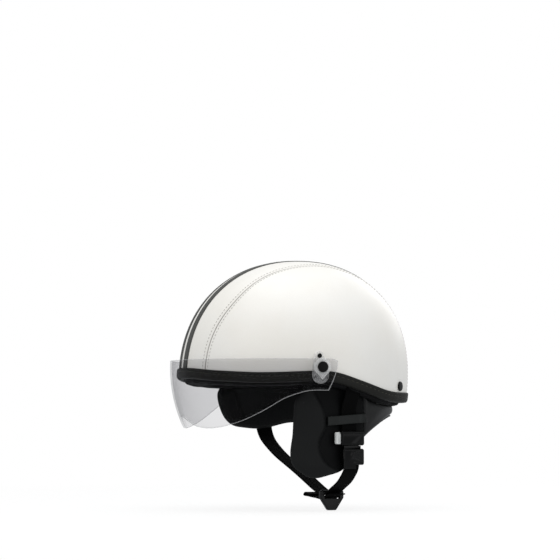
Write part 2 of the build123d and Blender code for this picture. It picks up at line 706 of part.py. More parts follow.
parts = {
    "shell": shell,
    "centre_band": centre_band,
    "left_panel": left_panel,
    "right_panel": right_panel,
    "stripe_left": stripe_left,
    "stripe_right": stripe_right,
    "edge_trim": edge_trim,
    "foam_liner": liner,
    "comfort_liner": comfort,
    "crown_pad": crown_pad,
    "visor": visor,
    "pivot_base_left": pivot_base_left,
    "pivot_base_right": pivot_base_right,
    "pivot_ring_left": pivot_ring_left,
    "pivot_ring_right": pivot_ring_right,
    "snap_button_left": snap_button_left,
    "snap_button_right": snap_button_right,
    "base_screws": base_screws,
    "rear_rivets": rear_rivets,
    "rivet_washers": rivet_washers,
    "ear_flap_left": ear_flap_left,
    "ear_flap_right": ear_flap_right,
    "nape_curtain": nape_curtain,
    "keeper_band": keeper_band,
    "hanger_left": hanger_left,
    "hanger_right": hanger_right,
    "strap_anchors": strap_anchors,
    "hanger_rivets": hanger_rivets,
    "buckle_housing": buckle_housing,
    "release_button": release_button,
    "buckle_tongue": buckle_tongue,
    "chin_strap": chin_strap,
    "strap_tail": strap_tail,
    "chin_slider": chin_slider,
}
for name, solid in parts.items():
    export_step(solid, f"parts/{name}.step")
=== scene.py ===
import bpy
import bmesh
import json
import math
import numpy as np
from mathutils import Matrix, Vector

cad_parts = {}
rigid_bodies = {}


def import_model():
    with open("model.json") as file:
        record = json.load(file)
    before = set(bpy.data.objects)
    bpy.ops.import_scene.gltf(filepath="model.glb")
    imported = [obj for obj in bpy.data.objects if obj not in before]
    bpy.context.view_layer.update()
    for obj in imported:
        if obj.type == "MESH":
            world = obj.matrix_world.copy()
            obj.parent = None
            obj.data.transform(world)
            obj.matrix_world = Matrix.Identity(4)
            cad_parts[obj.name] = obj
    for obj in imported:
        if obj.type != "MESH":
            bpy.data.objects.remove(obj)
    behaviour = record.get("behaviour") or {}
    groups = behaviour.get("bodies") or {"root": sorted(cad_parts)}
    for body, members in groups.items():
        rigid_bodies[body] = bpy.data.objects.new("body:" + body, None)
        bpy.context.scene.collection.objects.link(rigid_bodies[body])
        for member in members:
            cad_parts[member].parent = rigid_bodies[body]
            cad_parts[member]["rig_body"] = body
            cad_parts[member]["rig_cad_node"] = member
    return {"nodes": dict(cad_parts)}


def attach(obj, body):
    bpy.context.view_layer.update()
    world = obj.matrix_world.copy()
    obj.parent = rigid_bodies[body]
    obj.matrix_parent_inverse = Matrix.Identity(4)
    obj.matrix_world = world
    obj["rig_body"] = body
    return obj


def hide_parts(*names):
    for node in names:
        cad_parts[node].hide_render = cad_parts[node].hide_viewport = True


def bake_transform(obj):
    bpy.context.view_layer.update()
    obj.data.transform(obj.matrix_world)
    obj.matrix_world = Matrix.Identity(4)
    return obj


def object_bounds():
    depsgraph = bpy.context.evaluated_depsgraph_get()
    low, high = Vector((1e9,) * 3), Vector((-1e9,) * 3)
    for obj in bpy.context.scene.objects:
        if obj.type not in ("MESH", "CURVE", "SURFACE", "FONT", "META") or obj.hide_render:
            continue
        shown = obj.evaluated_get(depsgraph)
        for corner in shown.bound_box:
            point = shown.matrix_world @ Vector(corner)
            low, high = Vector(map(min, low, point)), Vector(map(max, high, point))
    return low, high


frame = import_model()
cadLow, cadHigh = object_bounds()
nodes = frame["nodes"]
mm = 0.001
print("frame loaded with", len(nodes), "nodes")


# Shader sockets that can stand in a Python sum
class Wire:
    def __init__(self, paint, socket):
        self.paint = paint
        self.socket = socket

    def maths(self, operation, *values):
        return self.paint.node("ShaderNodeMath", {"operation": operation}, *values)

    def __add__(self, other):
        return self.maths("ADD", self, other)

    def __sub__(self, other):
        return self.maths("SUBTRACT", self, other)

    def __rsub__(self, other):
        return self.maths("SUBTRACT", other, self)

    def __mul__(self, other):
        return self.maths("MULTIPLY", self, other)

    def __truediv__(self, other):
        return self.maths("DIVIDE", self, other)

    def __pow__(self, other):
        return self.maths("POWER", self, other)

    __radd__ = __add__
    __rmul__ = __mul__

    def wave(self):
        return self.maths("SINE", self)

    def size(self):
        return self.maths("ABSOLUTE", self)

    def bell(self, middle, width):
        offset = (self - middle) / width
        return self.maths("EXPONENT", offset * offset * -1.0)


class Paint:
    def __init__(self, name, kind="materials"):
        self.owner = getattr(bpy.data, kind).new(name)
        self.owner.use_nodes = True
        self.tree = self.owner.node_tree
        self.tree.nodes.clear()

    def node(self, kind, settings=None, *values, sockets=None, out=0):
        made = self.tree.nodes.new(kind)
        for key, value in (settings or {}).items():
            if key == "stops":
                self.setStops(made.color_ramp, value)
            else:
                setattr(made, key, value)
        for key, value in [*enumerate(values), *(sockets or {}).items()]:
            socket = made.inputs[key]
            if isinstance(value, Wire):
                self.tree.links.new(value.socket, socket)
            elif hasattr(value, "__len__") and len(value) == 3 and len(socket.default_value) == 4:
                socket.default_value = (*value, 1.0)
            else:
                socket.default_value = value
        return Wire(self, made.outputs[out])

    def setStops(self, ramp, stops):
        while len(ramp.elements) < len(stops):
            ramp.elements.new(1.0)
        for element, (position, tone) in zip(ramp.elements, stops):
            element.position = position
            element.color = (*tone, 1.0) if hasattr(tone, "__len__") else (tone, tone, tone, 1.0)

    def place(self):
        return self.node("ShaderNodeTexCoord", out=3)

    def along(self, name):
        return self.node("ShaderNodeAttribute", {"attribute_name": name}, out=2)

    def noise(self, place, scale, detail=3.0, rough=0.5):
        return self.node("ShaderNodeTexNoise", None,
                         sockets={"Vector": place, "Scale": scale, "Detail": detail, "Roughness": rough})

    def cells(self, place, scale):
        return self.node("ShaderNodeTexVoronoi", None, sockets={"Vector": place, "Scale": scale})

    def blend(self, share, first, second, way="MIX"):
        return self.node("ShaderNodeMix", {"data_type": "RGBA", "blend_type": way},
                         sockets={0: share, 6: first, 7: second}, out=2)

    def ramp(self, share, *stops):
        return self.node("ShaderNodeValToRGB", {"stops": stops}, share)

    def relief(self, height, depth, below=None):
        sockets = {"Height": height, "Distance": depth, "Strength": 1.0}
        if below is not None:
            sockets["Normal"] = below
        return self.node("ShaderNodeBump", None, sockets=sockets)

    def surface(self, **sockets):
        named = {key.replace("_", " "): value for key, value in sockets.items()}
        return self.node("ShaderNodeBsdfPrincipled", None, sockets=named)

    def done(self, shader, output="ShaderNodeOutputMaterial"):
        self.tree.links.new(shader.socket, self.tree.nodes.new(output).inputs[0])
        return self.owner


def leather(name, tone, warmTone, grain, depth, rough, shine=0.5, seamTone=None, coat=0.0, paintedShadeTone=None):
    # Grained leather; one float attribute holds either the distance in metres from a stitched seam,
    # which gets a groove and a line of seamTone, or the share of painted light on a padded piece, whose
    # shaded parts get a painted shade tone
    paint = Paint(name)
    place = paint.place()
    warp = paint.noise(place, 0.25 / grain, 2.0)
    cells = paint.cells(place, 1.0 / grain)
    fine = paint.noise(place, 3.0 / grain, 3.0, 0.6)
    broad = paint.noise(place, 14.0, 3.0, 0.55)
    creases = cells * 0.7 + fine * 0.35 + warp * 0.4
    colour = paint.blend(paint.ramp(broad, (0.32, 0.0), (0.7, 1.0)), tone, warmTone)
    pores = paint.ramp(cells, (0.0, 0.9), (0.35, 1.0))
    colour = paint.blend(1.0, colour, pores, "MULTIPLY")
    normal = paint.relief(creases, depth)
    # Painted shade: the shaded parts of a padded piece blend towards the dark painted shade tone
    if paintedShadeTone:
        colour = paint.blend(paint.along("seam"), paintedShadeTone, colour)
    if seamTone:
        seam = paint.along("seam")
        colour = paint.blend(seam.bell(0.0, 0.8 * mm) * 0.75, colour, seamTone)
        groove = 1.0 - seam.bell(3.2 * mm, 0.9 * mm) * 0.6 + seam.bell(1.6 * mm, 0.9 * mm) * 0.25
        normal = paint.relief(groove, 0.35 * mm, normal)
    roughness = rough - 0.06 + fine * 0.12 + broad * 0.06
    shader = paint.surface(Base_Color=colour, Roughness=roughness, Normal=normal, Specular_IOR_Level=shine,
                           Coat_Weight=coat, Coat_Roughness=0.3)
    return paint.done(shader)


def cloth(name, tone, lightTone, thread):
    # Brushed lining cloth
    paint = Paint(name)
    place = paint.place()
    nap = paint.noise(place, 1.0 / thread, 3.0, 0.7)
    broad = paint.noise(place, 30.0, 2.0)
    colour = paint.blend(nap * 0.7 + broad * 0.3, tone, lightTone)
    normal = paint.relief(nap, 0.12 * mm)
    shader = paint.surface(Base_Color=colour, Roughness=0.75 + nap * 0.2, Normal=normal,
                           Specular_IOR_Level=0.1)
    return paint.done(shader)


def webbingCloth(name, tone, lightTone, rib):
    # Ribs of a twill along the strap's own map, in metres, with plain selvages
    paint = Paint(name)
    uv = paint.node("ShaderNodeUVMap", {"uv_map": "strapMap"})
    split = paint.node("ShaderNodeSeparateXYZ", None, uv)
    lengthWay = Wire(paint, split.socket.node.outputs[0])
    widthWay = Wire(paint, split.socket.node.outputs[1])
    turn = 2 * math.pi / rib
    twill = ((lengthWay + (widthWay - 10 * mm).size() * 1.2) * turn).wave()
    fill = (widthWay * turn * 1.4).wave()
    weave = twill * 0.6 + fill * 0.25
    fuzz = paint.noise(paint.place(), 2600.0, 2.0, 0.6)
    colour = paint.blend(weave * 0.35 + 0.5 + fuzz * 0.2, tone, lightTone)
    normal = paint.relief(weave + fuzz * 0.5, 0.12 * mm)
    shader = paint.surface(Base_Color=colour, Roughness=0.72 + fuzz * 0.2, Normal=normal,
                           Specular_IOR_Level=0.04)
    return paint.done(shader)


def moulded(name, tone, rough, shine=0.5, texture=0.02 * mm, metal=0.0, speckle=900.0):
    # Moulded plastic, enamel, foam, bare metal or thread: a fine grain and a faint change of tone
    paint = Paint(name)
    place = paint.place()
    grain = paint.noise(place, speckle, 2.0, 0.6)
    broad = paint.noise(place, 60.0, 3.0, 0.6)
    dark = [0.8 * part for part in tone]
    colour = paint.blend(paint.ramp(broad, (0.35, 0.0), (0.75, 1.0)), dark, tone)
    roughness = rough - 0.08 + broad * 0.1 + grain * 0.08
    shader = paint.surface(Base_Color=colour, Roughness=roughness, Normal=paint.relief(grain, texture),
                           Metallic=metal, Specular_IOR_Level=shine)
    return paint.done(shader)


def clear(name, tint, body, least, most, rough, rim=0.0, rimHighlightTone=(0.9, 0.9, 0.9)):
    # Clear sheet: see-through face on, denser where it turns away, and with a painted highlight that
    # brightens and whitens it along its rim
    paint = Paint(name)
    edge = paint.node("ShaderNodeLayerWeight", None, 0.5, out=1)
    broad = paint.noise(paint.place(), 22.0, 2.0)
    share = least + edge ** 3.0 * (most - least) + broad * 0.006
    tone = body
    if rim:
        # Painted highlight along the rim
        rimHighlight = paint.along("seam").bell(0.0, rim)
        share = share + rimHighlight * 0.28
        tone = paint.blend(rimHighlight, body, rimHighlightTone)
    glass = paint.node("ShaderNodeBsdfTransparent", None, tint)
    gloss = paint.surface(Base_Color=tone, Roughness=rough, Specular_IOR_Level=0.5)
    return paint.done(paint.node("ShaderNodeMixShader", None, share, glass, gloss))


whiteLeather = leather("whiteLeather", tone=(0.80, 0.785, 0.75), warmTone=(0.775, 0.75, 0.70), grain=0.9 * mm,
                       depth=0.03 * mm, rough=0.42, seamTone=(0.42, 0.40, 0.36), coat=0.08)
stripeLeather = leather("stripeLeather", tone=(0.05, 0.05, 0.046), warmTone=(0.058, 0.058, 0.053),
                        grain=0.9 * mm, depth=0.05 * mm, rough=0.5, shine=0.2)
trimLeather = leather("trimLeather", tone=(0.0105, 0.0105, 0.009), warmTone=(0.013, 0.013, 0.0115),
                      grain=0.8 * mm, depth=0.06 * mm, rough=0.55, shine=0.12)
# flapLeather and napeLeather carry painted shade: a darker tone where their pieces lie in shade
flapLeather = leather("flapLeather", tone=(0.008, 0.0084, 0.0086), warmTone=(0.0105, 0.011, 0.011),
                      grain=1.1 * mm, depth=0.07 * mm, rough=0.6, shine=0.1,
                      paintedShadeTone=(0.0012, 0.0014, 0.0016))
napeLeather = leather("napeLeather", tone=(0.006, 0.006, 0.0063), warmTone=(0.009, 0.009, 0.0095),
                      grain=1.1 * mm, depth=0.06 * mm, rough=0.42, shine=0.3,
                      paintedShadeTone=(0.0008, 0.0008, 0.0009))
keeperLeather = leather("keeperLeather", tone=(0.013, 0.0145, 0.014), warmTone=(0.017, 0.0185, 0.018),
                        grain=0.9 * mm, depth=0.06 * mm, rough=0.55, shine=0.15)
linerCloth = cloth("linerCloth", tone=(0.003, 0.003, 0.0033), lightTone=(0.008, 0.008, 0.0085),
                   thread=0.7 * mm)
webbingBlack = webbingCloth("webbingBlack", tone=(0.0012, 0.0012, 0.0012), lightTone=(0.0035, 0.0035, 0.0035),
                            rib=2.2 * mm)
shellPlastic = moulded("shellPlastic", (0.02, 0.02, 0.021), rough=0.45)
linerFoam = moulded("linerFoam", (0.05, 0.05, 0.052), rough=0.85, shine=0.2, texture=0.3 * mm, speckle=420.0)
bucklePlastic = moulded("bucklePlastic", (0.0015, 0.0015, 0.0016), rough=0.2, shine=0.14)
sliderPlastic = moulded("sliderPlastic", (0.003, 0.003, 0.003), rough=0.28, shine=0.2)
buttonPlastic = moulded("buttonPlastic", (0.72, 0.73, 0.72), rough=0.35)
blackGloss = moulded("blackGloss", (0.002, 0.002, 0.002), rough=0.3, shine=0.1)
blackEnamel = moulded("blackEnamel", (0.003, 0.003, 0.003), rough=0.35, shine=0.12)
plainSteel = moulded("plainSteel", (0.56, 0.56, 0.55), rough=0.35, metal=1.0)
spunThread = {"rough": 0.8, "shine": 0.2, "texture": 0.1 * mm, "speckle": 2600.0}
whiteThread = moulded("whiteThread", (0.34, 0.32, 0.28), **spunThread)
greyThread = moulded("greyThread", (0.075, 0.073, 0.055), **spunThread)
darkThread = moulded("darkThread", (0.02, 0.02, 0.021), **spunThread)
visorClear = clear("visorClear", tint=(0.89, 0.89, 0.895), body=(0.10, 0.10, 0.105), least=0.01, most=0.3,
                   rough=0.08, rim=0.6 * mm)
# The sheet's edge faces get a painted highlight: a whitish, partly opaque tone
visorEdgeHighlight = clear("visorEdgeHighlight", tint=(0.97, 0.97, 0.97), body=(0.9, 0.9, 0.9), least=0.3, most=0.45, rough=0.2)
pivotClear = clear("pivotClear", tint=(1.0, 1.0, 1.0), body=(0.97, 0.97, 0.96), least=0.2, most=0.95,
                   rough=0.1)
print("materials ready")


# The cover's surface: a dome whose level curves are ellipses and whose crown leans a little rearwards
dome = {
    "halfWidth": 113 * mm,
    "halfLength": 135 * mm,
    "height": 136 * mm,
    "widestLevel": -12 * mm,
    "power": 2.2,
    "lean": 4.4 * mm,
    "rimFall": 28.5 * mm,
    "rimPlaces": (-1.2, -1.0, -0.9, -0.78, -0.6, -0.35, -0.12, 0.08, 0.275, 0.42, 0.58, 0.7, 0.82, 1.2),
    "rimShares": (0.0, 0.03, 0.125, 0.19, 0.245, 0.24, 0.2, 0.245, 0.49, 0.693, 0.905, 0.99, 1.0, 1.0),
    "bandHalf": 52 * mm,
    "bandPlaces": (-1.1, -0.9, -0.78, -0.65, -0.45, -0.2, 0.0, 0.12, 0.26, 0.5, 1.1),
    "bandShares": (0.89, 0.92, 0.97, 1.0, 0.95, 0.885, 0.81, 0.75, 0.715, 0.67, 0.62),
}
domeCentre = np.array([0.0, 0.0, dome["widestLevel"]])


def runningSum(steps):
    return np.concatenate([[0], np.cumsum(steps)])


def lineLength(points):
    return runningSum(np.linalg.norm(np.diff(points, axis=0), axis=1))


def unit(vectors):
    return vectors / np.linalg.norm(vectors, axis=-1, keepdims=True)


def splineThrough(knots, count):
    # A natural cubic through the knots, evenly spaced along its chords
    knots = np.array(knots, float)
    reach = lineLength(knots)
    step = np.diff(reach)
    rows = np.eye(len(knots))
    right = np.zeros_like(knots)
    for i in range(1, len(knots) - 1):
        rows[i, i - 1:i + 2] = step[i - 1], 2 * (step[i - 1] + step[i]), step[i]
        right[i] = 6 * ((knots[i + 1] - knots[i]) / step[i] - (knots[i] - knots[i - 1]) / step[i - 1])
    bend = np.linalg.solve(rows, right)
    at = np.linspace(0, reach[-1], count)
    i = np.clip(np.searchsorted(reach, at) - 1, 0, len(knots) - 2)
    after = (at - reach[i])[:, None]
    before = (reach[i + 1] - at)[:, None]
    h = step[i][:, None]
    curve = (bend[i] * before**3 + bend[i + 1] * after**3) / (6 * h)
    curve += (knots[i] / h - bend[i] * h / 6) * before + (knots[i + 1] / h - bend[i + 1] * h / 6) * after
    return curve


rimLine = splineThrough([(dome["halfLength"] * y, -dome["rimFall"] * z)
                         for y, z in zip(dome["rimPlaces"], dome["rimShares"])], 500)
bandLine = splineThrough([(dome["halfLength"] * y, dome["bandHalf"] * x)
                          for y, x in zip(dome["bandPlaces"], dome["bandShares"])], 500)


def rimLevel(y):
    return np.interp(y, rimLine[:, 0], rimLine[:, 1])


def bandHalf(y):
    return np.interp(y, bandLine[:, 0], bandLine[:, 1])


def domeNormal(points, out=0.0):
    a, b, h = (dome[key] + out for key in ("halfWidth", "halfLength", "height"))
    n = dome["power"]
    x, y, z = np.moveaxis(points - domeCentre, -1, 0)
    y = y - dome["lean"] * z / h
    flat = np.maximum((x / a) ** 2 + (y / b) ** 2, 1e-12) ** (n / 2 - 1)
    rear = y / b**2 * flat
    rise = np.abs(z / h) ** (n - 1) * np.sign(z) / h - rear * dome["lean"] / h
    return unit(np.stack([x / a**2 * flat, rear, rise], -1))


def onDome(points, lift=0.0):
    # Pushes points straight away from the dome's centre onto the cover, and then lifts them off it
    n = dome["power"]
    local = points - domeCentre
    x, y, z = np.moveaxis(local, -1, 0)
    flat = (x / dome["halfWidth"]) ** 2 + ((y - dome["lean"] * z / dome["height"]) / dome["halfLength"]) ** 2
    share = (flat ** (n / 2) + np.abs(z / dome["height"]) ** n) ** (-1 / n)
    seated = local * share[..., None] + domeCentre
    return seated + domeNormal(seated) * np.asarray(lift)[..., None]


def profilePoint(turn, across):
    # A point of the cover over a given turn from the front, where across(y) gives its X:
    # halving finds the share of the dome at which the point lies on it, and Y follows from that
    n = dome["power"]
    cosine, sine = -np.cos(turn), np.sin(turn)
    y = cosine * dome["halfLength"] * 0.9
    for _ in range(5):
        x = across(y)
        low, high = np.zeros_like(y), np.full_like(y, 1.2)
        for _ in range(40):
            middle = (low + high) / 2
            flat = (x / dome["halfWidth"]) ** 2 + (middle * cosine) ** 2
            outside = flat ** (n / 2) + np.abs(middle * sine) ** n > 1
            high = np.where(outside, middle, high)
            low = np.where(outside, low, middle)
        y = low * (cosine * dome["halfLength"] + sine * dome["lean"])
    return np.stack([x + 0 * y, y, dome["widestLevel"] + low * sine * dome["height"]], -1)


def rimPoint(turn, drop, out=0.0, level=None):
    # A point of the wall, turn 0 at the wearer's left and a quarter turn at the rear
    a, b, h = (dome[key] + out for key in ("halfWidth", "halfLength", "height"))
    n = dome["power"]
    y = b * np.sin(turn)
    for _ in range(6):
        z = rimLevel(y) - drop if level is None else level + 0 * y
        spread = (1 - np.minimum(np.abs((z - dome["widestLevel"]) / h), 0.999) ** n) ** (1 / n)
        y = b * np.sin(turn) * spread + dome["lean"] * (z - dome["widestLevel"]) / h
    return np.stack([a * np.cos(turn) * spread, y, z + 0 * y], -1)


def resample(points, shares):
    reach = lineLength(points)
    at = np.asarray(shares) * reach[-1]
    return np.stack([np.interp(at, reach, points[:, k]) for k in range(points.shape[1])], -1)


def patch(lines, along, down):
    # A surface between four lines: bottom and top run the same way, left and right from bottom to top
    bottom, top = (resample(line, along) for line in lines[:2])
    left, right = (resample(line, down) for line in lines[2:])
    u = np.linspace(0, 1, len(along))[None, :, None]
    v = np.linspace(0, 1, len(down))[:, None, None]
    ruled = (1 - v) * bottom[None] + v * top[None] + (1 - u) * left[:, None] + u * right[:, None]
    corners = (1 - u) * (1 - v) * bottom[0] + u * (1 - v) * bottom[-1]
    corners += (1 - u) * v * top[0] + u * v * top[-1]
    return ruled - corners


def nearest(points, line):
    # Distance from each point to the nearest point of a line, a few thousand points at a time
    flat = points.reshape(-1, points.shape[-1])
    batches = [flat[start:start + 2000, None] for start in range(0, len(flat), 2000)]
    distance = [np.linalg.norm(batch - line[None], axis=2).min(1) for batch in batches]
    return np.concatenate(distance).reshape(points.shape[:-1])


def ripples(u, v, seed, count=7):
    # Soft uneven waves between -1 and 1, the same on every run
    chance = np.random.default_rng(seed)
    total = 0
    for _ in range(count):
        angle, phase = chance.uniform(0, 2 * math.pi, 2)
        pace = chance.uniform(0.6, 1.6)
        total = total + np.sin(pace * (u * math.cos(angle) + v * math.sin(angle)) + phase)
    return total / count**0.5


def rounded(distance, radius):
    # Height of a rounded edge: 0 at the edge, 1 from the radius inwards
    return np.sqrt(1 - (1 - np.minimum(distance / radius, 1)) ** 2)


weldGap = 0.002 * mm                      # vertices closer than this are one


def addPiece(name, vertices, faces, materials, faceMaterials=None, uv=None, smooth=True, attributes=None):
    mesh = bpy.data.meshes.new(name)
    mesh.from_pydata([tuple(v) for v in vertices], [], [tuple(int(i) for i in f) for f in faces])
    for material in materials:
        mesh.materials.append(material)
    if faceMaterials is not None:
        mesh.polygons.foreach_set("material_index", np.asarray(faceMaterials, np.int32))
    if uv is not None:
        layer = mesh.uv_layers.new(name="strapMap")
        layer.data.foreach_set("uv", np.asarray(uv, np.float32).ravel())
    for key, values in (attributes or {}).items():
        layer = mesh.attributes.new(key, "FLOAT", "POINT")
        layer.data.foreach_set("value", np.asarray(values, np.float32).ravel())
    mesh.polygons.foreach_set("use_smooth", [smooth] * len(mesh.polygons))
    mesh.update()
    piece = bpy.data.objects.new(name, mesh)
    bpy.context.scene.collection.objects.link(piece)
    return piece


def faceOut(piece):
    # Turns every face of a closed piece outwards
    work = bmesh.new()
    work.from_mesh(piece.data)
    bmesh.ops.remove_doubles(work, verts=work.verts, dist=weldGap)
    bmesh.ops.recalc_face_normals(work, faces=work.faces)
    if work.calc_volume(signed=True) < 0:
        bmesh.ops.reverse_faces(work, faces=work.faces)
    work.to_mesh(piece.data)
    work.free()
    piece.data.update()
    return piece


def gridFaces(rows, columns, start=0, ring=False):
    r = np.arange(rows - 1)[:, None]
    c = np.arange(columns if ring else columns - 1)[None, :]
    after = (c + 1) % columns
    corners = [r * columns + c, r * columns + after, (r + 1) * columns + after, (r + 1) * columns + c]
    return np.stack([np.broadcast_to(k, (rows - 1, c.shape[1])) for k in corners], -1).reshape(-1, 4) + start


def sheetPiece(name, outer, inner, materials, edgeMaterial=0, seam=None):
    # A closed piece from an outer and an inner grid, joined all round their edges
    rows, columns = outer.shape[:2]
    count = rows * columns
    firstRow = [*range(columns)]
    lastColumn = [columns * (row + 1) - 1 for row in range(1, rows)]
    lastRow = [count - 2 - column for column in range(columns - 1)]
    firstColumn = [columns * (rows - 1 - row) for row in range(1, rows - 1)]
    rim = firstRow + lastColumn + lastRow + firstColumn
    sides = [gridFaces(rows, columns), gridFaces(rows, columns, count)[:, ::-1]]
    edge = np.array([(a, a + count, b + count, b) for a, b in zip(rim, rim[1:] + rim[:1])])
    faces = np.concatenate([*sides, edge])
    kinds = np.concatenate([np.zeros(2 * len(sides[0])), np.full(len(rim), edgeMaterial)])
    vertices = np.concatenate([outer.reshape(-1, 3), inner.reshape(-1, 3)])
    across = np.linalg.norm(np.diff(outer, axis=1), axis=2).mean(0)
    down = np.linalg.norm(np.diff(outer, axis=0), axis=2).mean(1)
    v, u = np.meshgrid(runningSum(down), runningSum(across), indexing="ij")
    uv = np.tile(np.stack([u, v], -1).reshape(-1, 2), (2, 1))[faces]
    attributes = None if seam is None else {"seam": np.tile(seam.ravel(), 2)}
    return faceOut(addPiece(name, vertices, faces, materials, kinds, uv, attributes=attributes))


def ringPiece(name, sections, material):
    # A closed ring: sections[k] is the k-th line round the ring, and the last line joins the first
    rows, columns = sections.shape[:2]
    closed = np.concatenate([sections, sections[:1]])
    faces = gridFaces(rows + 1, columns, ring=True) % (rows * columns)
    around = runningSum(np.linalg.norm(np.diff(closed, axis=0), axis=2).mean(1))
    along = lineLength(np.concatenate([sections[0], sections[0, :1]]))
    r = np.repeat(np.arange(rows), columns)
    c = np.tile(np.arange(columns), rows)
    uv = np.stack([np.stack([along[c], along[c + 1], along[c + 1], along[c]], -1),
                   np.stack([around[r], around[r], around[r + 1], around[r + 1]], -1)], -1)
    return faceOut(addPiece(name, sections.reshape(-1, 3), faces, [material], uv=uv))


def settle(piece, body, slot, *replaced):
    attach(piece, body)
    if replaced:
        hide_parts(*replaced)


helmetBody, visorBody, strapBody = "helmet_body", "visor_body", "strap_body"


# Stitches by Geometry Nodes: a small thread along each row, turned to the row and to the surface
def stitchTree():
    tree = bpy.data.node_groups.new("stitchRow", "GeometryNodeTree")
    tree.interface.new_socket("Geometry", in_out="INPUT", socket_type="NodeSocketGeometry")
    for name in ("Pitch", "Length", "Width"):
        tree.interface.new_socket(name, in_out="INPUT", socket_type="NodeSocketFloat")
    tree.interface.new_socket("Thread", in_out="INPUT", socket_type="NodeSocketMaterial")
    tree.interface.new_socket("Geometry", in_out="OUTPUT", socket_type="NodeSocketGeometry")

    def add(kind, settings=None, **links):
        made = tree.nodes.new(kind)
        for key, value in (settings or {}).items():
            setattr(made, key, value)
        for key, value in links.items():
            socket = made.inputs[key.replace("_", " ")]
            if isinstance(value, bpy.types.NodeSocket):
                tree.links.new(value, socket)
            else:
                socket.default_value = value
        return made

    entry = add("NodeGroupInput").outputs
    line = add("GeometryNodeMeshToCurve", Mesh=entry["Geometry"])
    spaced = add("GeometryNodeResampleCurve", {"mode": "LENGTH"}, Curve=line.outputs[0],
                 Length=entry["Pitch"])
    ball = add("GeometryNodeMeshUVSphere", Segments=6, Rings=4, Radius=0.5)
    size = add("ShaderNodeCombineXYZ", X=entry["Length"], Y=entry["Width"], Z=entry["Width"])
    thread = add("GeometryNodeTransform", Geometry=ball.outputs["Mesh"], Scale=size.outputs[0])
    tangent = add("GeometryNodeInputTangent")
    lay = add("FunctionNodeAlignRotationToVector", {"axis": "X"}, Vector=tangent.outputs[0])
    outward = add("GeometryNodeInputNamedAttribute", {"data_type": "FLOAT_VECTOR"}, Name="outward")
    stand = add("FunctionNodeAlignRotationToVector", {"axis": "Z", "pivot_axis": "X"},
                Rotation=lay.outputs[0], Vector=outward.outputs[0])
    placed = add("GeometryNodeInstanceOnPoints", Points=spaced.outputs[0], Instance=thread.outputs[0],
                 Rotation=stand.outputs[0])
    real = add("GeometryNodeRealizeInstances", Geometry=placed.outputs[0])
    soft = add("GeometryNodeSetShadeSmooth", Geometry=real.outputs[0])
    dressed = add("GeometryNodeSetMaterial", Geometry=soft.outputs[0], Material=entry["Thread"])
    leave = tree.nodes.new("NodeGroupOutput")
    tree.links.new(dressed.outputs[0], leave.inputs[0])
    return tree


stitchGroup = stitchTree()


def setInputs(modifier, values):
    named = {item.name: item.identifier for item in modifier.node_group.interface.items_tree
             if item.item_type == "SOCKET" and item.in_out == "INPUT"}
    for key, value in values.items():
        modifier[named[key]] = value


def asPlainMesh(piece):
    mesh = bpy.data.meshes.new_from_object(piece.evaluated_get(bpy.context.evaluated_depsgraph_get()))
    piece.modifiers.clear()
    piece.data = mesh
    return piece


def stitches(name, rows, settings, thread, slot):
    # rows are (points, outward directions, closed)
    points, outward, edges = [], [], []
    for line, normals, closed in rows:
        start = len(points)
        points += [tuple(p) for p in line]
        outward += [tuple(n) for n in normals]
        edges += [(start + i, start + i + 1) for i in range(len(line) - 1)]
        if closed:
            edges.append((len(points) - 1, start))
    mesh = bpy.data.meshes.new(name)
    mesh.from_pydata(points, edges, [])
    layer = mesh.attributes.new("outward", "FLOAT_VECTOR", "POINT")
    layer.data.foreach_set("vector", np.array(outward).ravel())
    piece = bpy.data.objects.new(name, mesh)
    bpy.context.scene.collection.objects.link(piece)
    modifier = piece.modifiers.new("stitchRow", "NODES")
    modifier.node_group = stitchGroup
    setInputs(modifier, {"Pitch": settings["stitchPitch"], "Length": settings["stitchLength"],
                         "Width": settings["threadWidth"], "Thread": thread})
    settle(asPlainMesh(piece), helmetBody, slot)


# Cover: centre band and two sides, with stitched seams
cover = {
    "thickness": 1.2 * mm,
    "tuck": 6.0 * mm,          # how far it runs down behind the trim
    "seamGap": 0.5 * mm,
    "edgeDip": 0.75 * mm,
    "edgeWidth": 1.1 * mm,
    "wander": 0.06 * mm,       # unevenness beside the seams, and how wide its waves are
    "wanderWide": (9 * mm, 9 * mm, 11 * mm),
    "wanderReach": 7 * mm,
    "wave": 0.05 * mm,         # unevenness all over
    "waveWide": (30 * mm, 30 * mm, 26 * mm),
    "frontCorner": math.radians(38),
    "rearCorner": math.radians(148),
    "along": (230, 300 * mm),  # steps of a side, and the length that the fine ones count on
    "down": (96, 200 * mm),
    "across": (40, 94 * mm),   # the same for the centre band
    "stitchInset": 3.2 * mm,
    "stitchSink": 0.05 * mm,
    "stitchEnd": 0.5 * mm,     # how far the rows run on below the rim line
    "stitchPitch": 4.0 * mm,
    "stitchLength": 2.8 * mm,
    "threadWidth": 0.75 * mm,
}
fineSteps = (0.3 * mm, 0.7 * mm, 1.2 * mm, 1.8 * mm)
overTheTop = np.linspace(math.radians(-25), math.radians(205), 1200)   # turns, past the rim at both ends


def crossings(across, tuck):
    # The turns at which a line over the dome passes the rim, at the front and at the rear
    line = profilePoint(overTheTop, across)
    inside = np.nonzero(line[:, 2] > rimLevel(line[:, 1]) - tuck)[0]
    return overTheTop[inside[0]], overTheTop[inside[-1]]


def seamLine(side, gap, count, first=None, last=None, tuck=cover["tuck"]):
    def across(y):
        return side * (bandHalf(y) + gap)

    front, rear = crossings(across, tuck)
    turns = np.linspace(front if first is None else first, rear if last is None else last, count)
    return profilePoint(turns, across)


def edgeShares(count, length, fine, near=(True, True)):
    # Shares 0 to 1, with a few close steps at the chosen ends
    shares = list(np.linspace(0, 1, count))
    extra = [step / length for step in fine]
    if near[0]:
        shares += extra
    if near[1]:
        shares += [1 - step for step in extra]
    return np.unique(np.round(shares, 6))


seamReference = np.concatenate([seamLine(side, 0.0, 900) for side in (-1, 1)])


